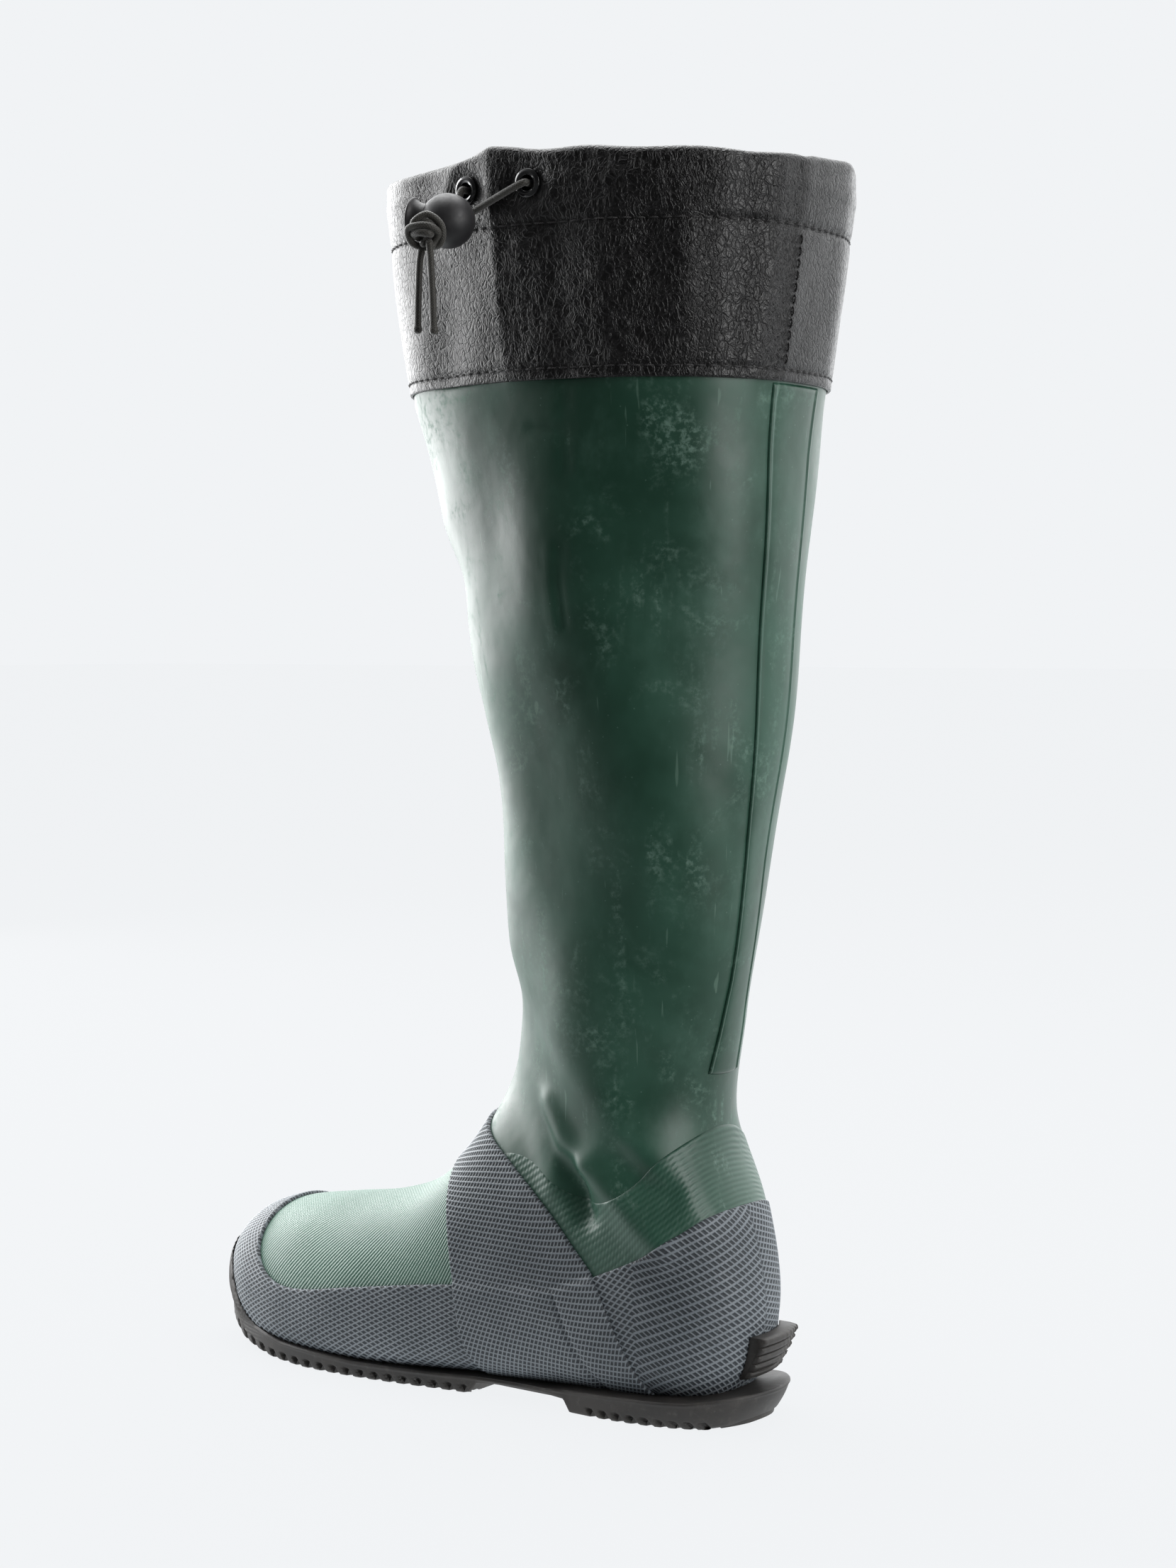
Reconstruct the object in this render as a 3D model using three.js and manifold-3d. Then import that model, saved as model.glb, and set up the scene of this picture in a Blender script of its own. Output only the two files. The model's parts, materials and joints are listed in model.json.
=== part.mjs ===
// A left rubber rain boot that folds away for packing: a soft green rubber leg and foot with
// grey ribbed rubber over the toe, instep and heel, a lugged outsole, a heel kick strip, and
// a leather-look cuff closed by a drawcord, which a sprung ball-shaped cord lock holds.
// Millimetres, +Z up. The toe points to -Y and the outer side of the foot faces +X. The
// origin is the middle of the heel's flat tread face, on the ground.
import * as THREE from "three";
import Module from "manifold-3d";
import { mergeVertices } from "three/addons/utils/BufferGeometryUtils.js";

const wasm = await Module();
wasm.setup();

// ---- Driving dimensions ----
const BOOT_TOP = 464;
const RUBBER_TOP = 399;
const CUFF_BOTTOM = 385;
const TUNNEL_STITCH = 440;
const HEM_STITCH = 389;
const AROUND = 20;
const GAP = 0.3;

// Layers, as distances out from the green rubber's outer face
const LINING = [-2.9, -1.9];
const RUBBER = [-1.6, 0];
const OVERLAY = [0.3, 1.6];
const BAND = [0.3, 2.9];
const STAY = [0.3, 1.2];
const CUFF_WALL = [0.4, 1.6];
const TUNNEL_FLAP = [-4.6, -3.4];

// Drawcord and its lock
const CORD_DIAMETER = 2.6;
const CORD_SPACING = 1.5;
const TUNNEL_CORD_OFFSET = -1.5;
const TUNNEL_CORD_HEIGHT = 454.5;
const EYELET_FLANGE = 10.4;
const EYELET_BARREL = 7;
const EYELET_HOLE = 5.6;
const EYELET_HEIGHT = 454.5;
const LOCK_CENTRE = new THREE.Vector3(89, -33, 440.9);
const LOCK_CORD_AXIS = new THREE.Vector3(0.94, 0.27, -0.21).normalize();
const LOCK_RADIUS = 9.75;
const LOCK_BORE = 11.6;
const LOCK_BORE_FLOOR = -6.5;
const CORD_HOLE_LEVEL = 2.2;
const PLUNGER_DIAMETER = 11;
const PLUNGER_HEAD = 14;
const PLUNGER_TRAVEL = 3;
const KNOT_CENTRE = 14.9;

// ---- The boot's surface ----
// Each section runs from a front or top point to a back or bottom point in the boot's side
// view, [y, z]. The foot's sections stand up, the leg's lie level, and the ankle's fan from
// one to the other. Half widths are outer (lateral) and inner (medial), widest is where the
// section is widest along its length, and the two roundness numbers are superellipse powers.
const section = (front, back, lateral, medial, widest = 0.5, roundness = [2, 2], middle = 0) =>
  [...front, ...back, lateral, medial, widest, ...roundness, middle];
const SECTIONS = [
  section([-215.5, 26], [-215.5, 26], 0, 0, 0.5, [2, 2], -7),
  section([-212, 40], [-213, 15], 17, 17, 0.55, [2.1, 2.6], -7),
  section([-202, 51], [-203, 11], 28, 27, 0.6, [2.1, 3.2], -6),
  section([-185, 57.5], [-187, 9], 38, 35, 0.64, [2.1, 4], -4.5),
  section([-161, 62], [-164, 8], 44, 39.5, 0.66, [2.1, 4.5], -3),
  section([-132, 67], [-136, 8], 46, 42, 0.68, [2, 4.5], -2),
  section([-106, 76], [-106, 8.5], 43.5, 41, 0.68, [2, 4.2], -1),
  section([-87, 91], [-72, 11], 39.5, 38, 0.66, [2, 3.6]),
  section([-75, 108], [-28, 12.5], 36.5, 36, 0.64, [2, 3.2]),
  section([-67, 126], [28, 14.5], 34.5, 34.5, 0.62, [2, 2.8]),
  section([-63.5, 144], [44, 36], 34.5, 34.5, 0.58, [2, 2.3]),
  section([-62, 160], [40, 70], 35.5, 35.5, 0.55, [2, 2.2]),
  section([-64, 178], [25.5, 108], 38, 38, 0.52, [2, 2.1]),
  section([-65, 198], [32, 150], 41, 41),
  section([-67, 222], [40, 196], 44.5, 44.5),
  section([-70, 252], [46, 245], 51, 51),
  section([-80, 300], [51.5, 300], 59, 59),
  section([-96, 360], [57, 360], 64.5, 64.5, 0.5, [2.1, 2.1]),
  section([-104, 386], [59.5, 386], 66, 66, 0.5, [2.2, 2.2]),
  section([-108.5, 425], [64, 425], 69.5, 69.5, 0.5, [2.3, 2.3]),
  section([-112.5, 470], [69, 470], 72.5, 72.5, 0.5, [2.3, 2.3]),
  section([-114.5, 490], [71.5, 490], 74, 74, 0.5, [2.3, 2.3]),
];
// How many steps the mesh takes from each section to the next
const STEPS = [2, 1, 2, 2, 1, 1, 1, 1, 1, 2, 1, 1, 1, 1, 1, 1, 1, 1, 1, 1, 1];

// Catmull-Rom blend of the section numbers at place u, in sections from the toe
function sectionAt(u) {
  const last = SECTIONS.length - 1;
  const index = Math.min(Math.floor(u), last - 1);
  const w = u - index;
  const here = SECTIONS[index];
  const next = SECTIONS[index + 1];
  const before = SECTIONS[index - 1] ?? here.map((value, k) => 2 * value - next[k]);
  const after = SECTIONS[index + 2] ?? next.map((value, k) => 2 * value - here[k]);
  return here.map((value, k) => {
    const slope = next[k] - before[k];
    const square = 2 * before[k] - 5 * value + 4 * next[k] - after[k];
    const cube = 3 * value - before[k] - 3 * next[k] + after[k];
    return 0.5 * (2 * value + slope * w + square * w * w + cube * w * w * w);
  });
}

function surfacePoint(u, angle) {
  const [fy, fz, by, bz, lateral, medial, widest, powerFront, powerBack, middle] = sectionAt(u);
  const centreY = fy + (by - fy) * widest;
  const centreZ = fz + (bz - fz) * widest;
  const c = Math.cos(angle);
  const s = Math.sin(angle);
  const power = 2 / (c >= 0 ? powerFront : powerBack);
  const along = Math.abs(c) ** power;
  const [endY, endZ] = c >= 0 ? [fy, fz] : [by, bz];
  const half = s >= 0 ? lateral : medial;
  return new THREE.Vector3(
    middle + Math.sign(s) * half * Math.abs(s) ** power,
    centreY + (endY - centreY) * along,
    centreZ + (endZ - centreZ) * along,
  );
}

const places = [0];
STEPS.forEach((steps, index) => {
  for (let k = 1; k <= steps; k++) places.push(index + k / steps);
});
const angles = Array.from({ length: AROUND }, (_, k) => (2 * Math.PI * k) / AROUND);

// The grid of surface points and their outward normals; row 0 is the tip of the toe
const grid = places.map((u) => angles.map((angle) => surfacePoint(u, angle)));
const normals = grid.map((row, i) => row.map((point, k) => {
  if (i === 0) return new THREE.Vector3(0, -1, 0);
  const up = grid[Math.min(i + 1, grid.length - 1)][k].clone().sub(grid[i - 1][k]);
  const round = row[(k + 1) % AROUND].clone().sub(row[(k + AROUND - 1) % AROUND]);
  return round.cross(up).normalize();
}));

// ---- Solids, joins and cuts ----
function toSolid(geometry) {
  const bare = geometry.clone();
  bare.deleteAttribute("normal");
  bare.deleteAttribute("uv");
  const merged = mergeVertices(bare, 1e-4);
  return new wasm.Manifold(new wasm.Mesh({
    numProp: 3,
    vertProperties: new Float32Array(merged.attributes.position.array),
    triVerts: new Uint32Array(merged.index.array),
  }));
}

function toGeometry(solid) {
  const mesh = solid.getMesh();
  const geometry = new THREE.BufferGeometry();
  geometry.setAttribute("position", new THREE.BufferAttribute(mesh.vertProperties, 3));
  geometry.setIndex(new THREE.BufferAttribute(mesh.triVerts, 1));
  geometry.computeVertexNormals();
  return geometry;
}

function fromFaces(points, faces) {
  const geometry = new THREE.BufferGeometry();
  const numbers = points.flatMap((point) => point.toArray());
  geometry.setAttribute("position", new THREE.Float32BufferAttribute(numbers, 3));
  geometry.setIndex(faces.flat());
  geometry.computeVertexNormals();
  return geometry;
}

// The whole boot as one filled solid, its surface moved out by a distance
const filled = new Map();
function boot(distance) {
  if (filled.has(distance)) return filled.get(distance);
  const moved = (i, k) => grid[i][k].clone().addScaledVector(normals[i][k], distance);
  const points = [moved(0, 0)];
  for (let i = 1; i < grid.length; i++) {
    for (let k = 0; k < AROUND; k++) points.push(moved(i, k));
  }
  const at = (i, k) => 1 + (i - 1) * AROUND + (k % AROUND);
  const faces = [];
  for (let k = 0; k < AROUND; k++) faces.push([0, at(1, k + 1), at(1, k)]);
  for (let i = 1; i < grid.length - 1; i++) {
    for (let k = 0; k < AROUND; k++) {
      faces.push([at(i, k), at(i, k + 1), at(i + 1, k + 1)]);
      faces.push([at(i, k), at(i + 1, k + 1), at(i + 1, k)]);
    }
  }
  const top = grid.length - 1;
  points.push(new THREE.Vector3(0, -22, grid[top][0].z));
  for (let k = 0; k < AROUND; k++) faces.push([at(top, k), at(top, k + 1), points.length - 1]);
  const solid = toSolid(fromFaces(points, faces));
  filled.set(distance, solid);
  return solid;
}

const layer = ([inner, outer]) => boot(outer).subtract(boot(inner));

// A straight extrusion of an outline in the side view, [y, z], across the boot's width
const SIDE_VIEW = new THREE.Matrix4().makeBasis(
  new THREE.Vector3(0, 1, 0),
  new THREE.Vector3(0, 0, 1),
  new THREE.Vector3(1, 0, 0),
);
function outline(points) {
  return new THREE.Shape(points.map(([a, b]) => new THREE.Vector2(a, b)));
}
function sidePrism(points, from = -130, to = 130) {
  const geometry = new THREE.ExtrudeGeometry(outline(points), { depth: to - from, bevelEnabled: false });
  geometry.translate(0, 0, from);
  return toSolid(geometry.applyMatrix4(SIDE_VIEW));
}

// A straight extrusion upwards of an outline in plan, [x, y]
function planPrism(points, from, to) {
  const geometry = new THREE.ExtrudeGeometry(outline(points), { depth: to - from, bevelEnabled: false });
  return toSolid(geometry.translate(0, 0, from));
}

function block(low, high) {
  const size = high.map((value, k) => value - low[k]);
  const geometry = new THREE.BoxGeometry(...size);
  return toSolid(geometry.translate(...low.map((value, k) => value + size[k] / 2)));
}

// The place u at which the leg's level sections reach a height
const FIRST_LEVEL_SECTION = 14;
function placeAtHeight(height) {
  let low = FIRST_LEVEL_SECTION;
  let high = SECTIONS.length - 1;
  while (high - low > 1e-9) {
    const middle = (low + high) / 2;
    if (sectionAt(middle)[1] < height) low = middle;
    else high = middle;
  }
  return low;
}

// A point beside the leg at a height, moved straight out by a distance
function legPoint(distance, height, angle) {
  const u = placeAtHeight(height);
  const point = surfacePoint(u, angle);
  const step = Math.PI / AROUND;
  const round = surfacePoint(u, angle + step).sub(surfacePoint(u, angle - step));
  const out = new THREE.Vector3(round.y, -round.x, 0).normalize();
  return point.addScaledVector(out, distance).setZ(height);
}

// A closed loop of rings: each corner of a profile, [distance, height], goes once round the leg
function legRing(profile) {
  const points = profile.flatMap(([distance, height]) =>
    angles.map((angle) => legPoint(distance, height, angle)));
  const faces = [];
  profile.forEach((_, i) => {
    const j = (i + 1) % profile.length;
    for (let k = 0; k < AROUND; k++) {
      const k2 = (k + 1) % AROUND;
      faces.push([i * AROUND + k, i * AROUND + k2, j * AROUND + k2]);
      faces.push([i * AROUND + k, j * AROUND + k2, j * AROUND + k]);
    }
  });
  return fromFaces(points, faces);
}

// ---- The scene ----
const model = new THREE.Group();
const material = (color, roughness, metalness = 0) =>
  new THREE.MeshStandardMaterial({ color, roughness, metalness });
const MATERIALS = {
  greenRubber: material(0x3f6553, 0.35),
  greenRibbed: material(0x6f9585, 0.55),
  greyRubber: material(0x5a636b, 0.6),
  blackRubber: material(0x2f2c2a, 0.6),
  leather: material(0x2e2c2d, 0.5),
  thread: material(0x1c1b1c, 0.8),
  cord: material(0x3a3934, 0.75),
  plastic: material(0x35353a, 0.55),
  eyelet: material(0x0b0b0c, 0.25, 0.8),
  lining: material(0x6a6e6c, 0.9),
  insole: material(0x3b3d40, 0.85),
  board: material(0x8a7b66, 0.9),
  spring: material(0xb8b8b8, 0.35, 1),
};
function add(name, shape, look, parent = model) {
  const geometry = shape.isBufferGeometry ? shape : toGeometry(shape);
  const mesh = new THREE.Mesh(geometry, MATERIALS[look]);
  mesh.name = name;
  parent.add(mesh);
  return mesh;
}

// ---- Outsole ----
const SOLE_OUTLINE = [
  [0, 50.5], [14, 47], [25, 38], [31, 24], [33, 5], [33, -20], [32.5, -50], [35.5, -75],
  [40, -100], [43, -125], [43, -150], [38.5, -175], [28, -196], [13, -212.5], [-7, -219.5],
  [-22, -215], [-34, -200], [-41, -180], [-43.5, -150], [-42.5, -120], [-38, -90],
  [-33, -60], [-31, -30], [-31.5, 0], [-31, 20], [-26, 37], [-14, 47],
];
const SOLE_UNDERSIDE = [
  [-230, 30], [-218, 20], [-205, 10], [-188, 4], [-165, 0.8], [-148, 0], [-68, 0], [-65, 5],
  [-24, 5], [-21, 0], [30, 0], [42, 4], [50, 10.5], [56, 15],
];
const SOLE_TOP = [
  [56, 16.5], [30, 14.5], [0, 13], [-40, 12], [-80, 11], [-120, 11], [-160, 12.5],
  [-186, 17], [-202, 25], [-212, 36], [-230, 37],
];
const TREAD_DEPTH = 2.6;
const TREAD_WIDTH = 2.8;
const TREAD_SWEEP = 10;
const FOREFOOT_GROOVES = Array.from({ length: 13 }, (_, k) => -198 + 9 * k);
const HEEL_GROOVES = [-13, 5, 13, 21];

function soleOutline() {
  const curve = new THREE.CatmullRomCurve3(
    SOLE_OUTLINE.map(([x, y]) => new THREE.Vector3(x, y, 0)), true, "centripetal");
  return curve.getPoints(SOLE_OUTLINE.length * 2).slice(0, -1).map((p) => [p.x, p.y]).reverse();
}
function groove(y) {
  const half = 60;
  return planPrism([
    [-half, y + TREAD_SWEEP], [0, y], [half, y + TREAD_SWEEP],
    [half, y + TREAD_SWEEP + TREAD_WIDTH], [0, y + TREAD_WIDTH], [-half, y + TREAD_SWEEP + TREAD_WIDTH],
  ], -2, TREAD_DEPTH);
}
let outsole = planPrism(soleOutline(), -1, 60)
  .intersect(sidePrism([...SOLE_UNDERSIDE, ...SOLE_TOP]))
  .subtract(boot(0.35));
for (const y of [...FOREFOOT_GROOVES, ...HEEL_GROOVES]) outsole = outsole.subtract(groove(y));
add("outsole", outsole, "blackRubber");

// Everything above the outsole's top edge, with the usual gap
const aboveSole = sidePrism([
  ...SOLE_TOP.map(([y, z]) => [y, z + GAP]), [-232, 600], [130, 600], [130, 16.8],
]);

// ---- Green rubber: foot, leg and ankle, edge to edge ----
// The foot's and leg's rubber meet under the instep band
const FOOT_EDGE = [[-30, 0], [-35, 30], [-58, 58], [-84, 92], [-125, 125]];
const legEdge = FOOT_EDGE.map(([y, z]) => [y + GAP, z]);
const footRegion = sidePrism([...FOOT_EDGE, [-240, 125], [-240, 0]]);
const legRegion = sidePrism([
  ...legEdge.reverse(), [130, 0], [130, RUBBER_TOP], [-240, RUBBER_TOP], [-240, 125.5],
]);
// The ribbed ankle panel rises to a flat-topped peak at the back
const ANKLE_TOP = [[-14, 66], [-5, 81], [14, 97], [25, 110], [34, 122], [37, 128]];
const ankleRegion = (grow) => sidePrism([
  [-14 - grow, 58 - grow], [12, 52 - grow], [100, 64 - grow], [100, 128 + grow],
  ...ANKLE_TOP.map(([y, z]) => [y - grow, z + grow]).reverse(),
]);
add("foot_upper", layer(RUBBER).intersect(footRegion), "greenRibbed");
add("leg_shaft", layer(RUBBER).intersect(legRegion).subtract(ankleRegion(GAP)), "greenRubber");
add("ankle_panel", layer(RUBBER).intersect(ankleRegion(0)), "greenRibbed");

// ---- Grey rubber over the toe, heel and instep ----
const GUARD_TOP = [
  [-26, 46], [-72, 43], [-150, 31], [-168, 32.5], [-179, 38], [-185, 47], [-186, 70],
];
const guardRegion = sidePrism([[-26, 0], ...GUARD_TOP, [-240, 70], [-240, 0]]);
const COUNTER_TOP = [[-26, 46.5], [-8, 54], [14, 65], [30, 76], [35, 84]];
const counterRegion = sidePrism([[-5, 0], ...COUNTER_TOP, [100, 84], [100, 0]]);
const toeGuard = layer(OVERLAY).intersect(guardRegion).intersect(aboveSole)
  .subtract(sidePrism([[-26.3, 60], [-26.3, 46], [-5.3, 0], [100, 0], [100, 60]]));
const heelCounter = layer(OVERLAY).intersect(counterRegion).intersect(aboveSole);
add("toe_guard", toeGuard, "greyRubber");
add("heel_counter", heelCounter, "greyRubber");

// The instep band lies over the green rubber and over the edges of the toe guard and counter
const bandRegion = sidePrism([
  [-62, 0], [-72, 43], [-80, 68], [-89, 88], [-98, 106], [-86, 114],
  [-77, 105.5], [-30, 75], [-8, 54], [12, 14], [16, 0],
]);
const underBand = sidePrism([
  [100, 0], [100, 84], [35, 84], [30, 76.4], [14, 65.4], [-8, 54.4], [-26, 47], [-72, 43.4],
  [-100, 39.5], [-100, 0],
]);
add("instep_band", layer(BAND).intersect(bandRegion).intersect(aboveSole)
  .subtract(boot(OVERLAY[1] + GAP).intersect(underBand)), "greyRubber");

// ---- Back stay up the leg, and the ribbed strip to hold the boot by when taking it off ----
const STAY_HALF_WIDTHS = [[9, 129], [7, 165], [7.5, 210], [12, 310], [15.5, CUFF_BOTTOM - 0.5]];
const stayFront = [
  ...STAY_HALF_WIDTHS.map(([half, z]) => [-half, z]),
  ...STAY_HALF_WIDTHS.map(([half, z]) => [half, z]).reverse(),
];
const FRONT_VIEW = new THREE.Matrix4().makeBasis(
  new THREE.Vector3(1, 0, 0), new THREE.Vector3(0, 0, 1), new THREE.Vector3(0, -1, 0));
const stayBlank = new THREE.ExtrudeGeometry(outline(stayFront), { depth: 130, bevelEnabled: false });
const stayPrism = toSolid(stayBlank.translate(0, 0, -130).applyMatrix4(FRONT_VIEW));
add("back_stay", layer(STAY).intersect(stayPrism), "greenRubber");

const KICK = { half: 17, bottom: 17, top: 33.5, ribs: 5, base: 8.4, crest: 9.7, groove: 1 };
const kickSlab = (from, to) => block([-KICK.half, 0, from], [KICK.half, 80, to]);
let kickStrip = boot(KICK.base).intersect(kickSlab(KICK.bottom, KICK.top));
const ribPitch = (KICK.top - KICK.bottom) / KICK.ribs;
for (let rib = 0; rib < KICK.ribs; rib++) {
  const from = KICK.bottom + rib * ribPitch + KICK.groove / 2;
  kickStrip = kickStrip.add(boot(KICK.crest).intersect(kickSlab(from, from + ribPitch - KICK.groove)));
}
add("heel_kick_strip", kickStrip.subtract(boot(OVERLAY[1] + GAP)), "blackRubber");

// ---- Inside: fabric lining, insole board and cushioned insole ----
add("lining", layer(LINING).intersect(block([-130, -240, 0], [130, 130, RUBBER_TOP])), "lining");
const INSIDE = LINING[0] - GAP;
const BOARD_TOP = 1.6;
const INSOLE = [BOARD_TOP + GAP, 6.4];
const INSOLE_BASE = [
  [44, 21], [28, 18.5], [-28, 16.5], [-72, 15], [-106, 12.5], [-136, 12], [-165, 12.2],
  [-190, 13.2], [-212, 17],
];
const raised = (rise) => INSOLE_BASE.map(([y, z]) => [y, z + rise]);
const boardSide = sidePrism([[44, 0], [-212, 0], ...raised(BOARD_TOP).reverse()]);
const insoleSide = sidePrism([...raised(INSOLE[0]), ...raised(INSOLE[1]).reverse()]);
add("insole_board", boot(INSIDE).intersect(boardSide), "board");
add("insole", boot(INSIDE).intersect(insoleSide), "insole");

// ---- Cuff: an outer wall folded over at the top into a tunnel for the drawcord ----
const [wallIn, wallOut] = CUFF_WALL;
const [flapIn, flapOut] = TUNNEL_FLAP;
const CUFF_PROFILE = [
  [wallOut, CUFF_BOTTOM], [wallOut, 400], [wallOut, 425], [wallOut, BOOT_TOP - 1.5],
  [wallOut - 1, BOOT_TOP], [flapIn + 1, BOOT_TOP], [flapIn, BOOT_TOP - 1.5], [flapIn, 446],
  [-1.4, TUNNEL_STITCH - 1], [-0.1, TUNNEL_STITCH - 1], [flapOut, 447], [flapOut, BOOT_TOP - 1.2],
  [wallIn, BOOT_TOP - 1.2], [wallIn, 425], [wallIn, 400], [wallIn, CUFF_BOTTOM],
];
const facetAngle = (2 * Math.PI) / AROUND;
// The eyelets sit in the two outer-side facets either side of the widest point
const EYELETS = [
  { name: "front", angle: Math.PI / 2 - facetAngle / 2, along: 0.5 },
  { name: "rear", angle: Math.PI / 2 + facetAngle / 2, along: 0.36 },
];
for (const eyelet of EYELETS) {
  const before = eyelet.angle - facetAngle / 2;
  const after = eyelet.angle + facetAngle / 2;
  const corner = (distance, angle, height) => legPoint(distance, height, angle);
  const a = corner(wallOut, before, EYELET_HEIGHT);
  const b = corner(wallOut, after, EYELET_HEIGHT);
  const up = corner(wallOut, before, BOOT_TOP - 2).sub(corner(wallOut, before, 444))
    .add(corner(wallOut, after, BOOT_TOP - 2).sub(corner(wallOut, after, 444)));
  eyelet.centre = a.clone().lerp(b, eyelet.along);
  eyelet.normal = b.clone().sub(a).cross(up).normalize();
}
// Turns +Z to face out of the leg at the eyelet
const eyeletPlace = (eyelet, geometry, distance) => {
  const turn = new THREE.Quaternion().setFromUnitVectors(new THREE.Vector3(0, 0, 1), eyelet.normal);
  const centre = eyelet.centre.clone().addScaledVector(eyelet.normal, distance);
  return geometry.applyQuaternion(turn).translate(...centre.toArray());
};
const lathe = (points, segments = 20) => {
  // three.js turns a profile round Y; this stands the axis up along Z
  const profile = points.map(([r, z]) => new THREE.Vector2(r, z));
  return new THREE.LatheGeometry(profile, segments).rotateX(Math.PI / 2);
};
let cuff = toSolid(legRing(CUFF_PROFILE));
const WALL = wallOut - wallIn;
for (const eyelet of EYELETS) {
  const radius = EYELET_BARREL / 2 + GAP;
  const hole = new THREE.CylinderGeometry(radius, radius, 3.4, 20).rotateX(Math.PI / 2);
  cuff = cuff.subtract(toSolid(eyeletPlace(eyelet, hole, -WALL / 2)));
}
add("cuff", cuff, "leather");

const barrel = EYELET_BARREL / 2;
const bore = EYELET_HOLE / 2;
const flange = EYELET_FLANGE / 2;
for (const eyelet of EYELETS) {
  const ring = lathe([
    [bore, -1.9], [barrel, -1.9], [barrel, GAP], [flange, GAP], [flange, 0.7], [flange - 1, 1.3],
    [bore + 0.6, 1.3], [bore, 0.8], [bore, -1.9],
  ]);
  add(`eyelet_${eyelet.name}`, eyeletPlace(eyelet, ring, 0), "eyelet");
  const washer = lathe([
    [barrel + GAP, -2.1], [4.7, -2.1], [4.7, -1.5], [barrel + GAP, -1.5], [barrel + GAP, -2.1],
  ]);
  add(`eyelet_washer_${eyelet.name}`, eyeletPlace(eyelet, washer, 0), "eyelet");
}

// ---- Stitching ----
const THREAD = 0.35;
const threadRing = (height) => legRing([
  [wallOut + GAP, height - THREAD], [wallOut + GAP + 2 * THREAD, height - THREAD],
  [wallOut + GAP + 2 * THREAD, height + THREAD], [wallOut + GAP, height + THREAD],
]);
add("hem_stitching", threadRing(HEM_STITCH), "thread");
add("tunnel_stitching", threadRing(TUNNEL_STITCH), "thread");
const SEAM_ANGLE = 9.5 * facetAngle;

// ---- Cords ----
const rod = (diameter, sides = 8) => {
  const shape = new THREE.Shape();
  for (let k = 0; k < sides; k++) {
    const angle = (2 * Math.PI * k) / sides;
    const point = [(diameter / 2) * Math.cos(angle), (diameter / 2) * Math.sin(angle)];
    if (k === 0) shape.moveTo(...point);
    else shape.lineTo(...point);
  }
  return shape;
};
const alongPath = (path, section, steps) =>
  new THREE.ExtrudeGeometry(section, { steps, extrudePath: path, bevelEnabled: false });
function tube(points, diameter, steps, sides = 8) {
  const path = new THREE.CatmullRomCurve3(points, false, "centripetal");
  return alongPath(path, rod(diameter, sides), steps);
}
// The seam is sewn from the hem up to the tunnel
const seamPoints = [HEM_STITCH + 3, 412, TUNNEL_STITCH - 3].map((height) =>
  legPoint(wallOut + GAP + THREAD + 0.1, height, SEAM_ANGLE));
add("cuff_seam_stitching", tube(seamPoints, 2 * THREAD, 6, 6), "thread");

// Inside the tunnel the cord goes round the back and front of the leg, from eyelet to eyelet
const CLEAR_OF_EYELET = 7;
function tunnelCord() {
  const [front, rear] = EYELETS;
  const start = rear.angle + facetAngle / 2;
  const end = front.angle - facetAngle / 2 + 2 * Math.PI;
  const count = Math.round((end - start) / facetAngle);
  const corners = Array.from({ length: count + 1 }, (_, k) =>
    legPoint(TUNNEL_CORD_OFFSET, TUNNEL_CORD_HEIGHT, start + k * facetAngle));
  const inward = (eyelet, corner) => {
    const centre = eyelet.centre.clone().addScaledVector(eyelet.normal, TUNNEL_CORD_OFFSET - wallOut);
    return centre.lerp(corner, CLEAR_OF_EYELET / centre.distanceTo(corner));
  };
  return [inward(rear, corners[0]), ...corners, inward(front, corners.at(-1))];
}
// A path of straight runs with its steps on its corners, so the cord keeps to the facets' middle
class StraightRuns extends THREE.Curve {
  constructor(points) {
    super();
    this.points = points;
  }
  getPoint(t) {
    const place = Math.min(t, 1) * (this.points.length - 1);
    const index = Math.min(Math.floor(place), this.points.length - 2);
    return this.points[index].clone().lerp(this.points[index + 1], place - index);
  }
  getUtoTmapping(u) {
    return u;
  }
}
const tunnelPoints = tunnelCord();
const tunnelPath = new StraightRuns(tunnelPoints);
add("drawcord_in_tunnel", alongPath(tunnelPath, rod(CORD_DIAMETER), 2 * (tunnelPoints.length - 1)), "cord");

// ---- Cord lock, built about its ball's centre: X along the cords, Y along the plunger ----
const plungerAxis = new THREE.Vector3(0.3, -0.94, 0.15);
plungerAxis.addScaledVector(LOCK_CORD_AXIS, -plungerAxis.dot(LOCK_CORD_AXIS)).normalize();
const lockBasis = new THREE.Matrix4().makeBasis(
  LOCK_CORD_AXIS, plungerAxis, LOCK_CORD_AXIS.clone().cross(plungerAxis));
const lock = new THREE.Group();
lock.position.copy(LOCK_CENTRE);
lock.setRotationFromMatrix(lockBasis);
model.add(lock);
const lockPoint = (x, y, z) => new THREE.Vector3(x, y, z).applyMatrix4(lockBasis).add(LOCK_CENTRE);
const latheY = (points, segments = 24) =>
  new THREE.LatheGeometry(points.map(([r, y]) => new THREE.Vector2(r, y)), segments);

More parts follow.
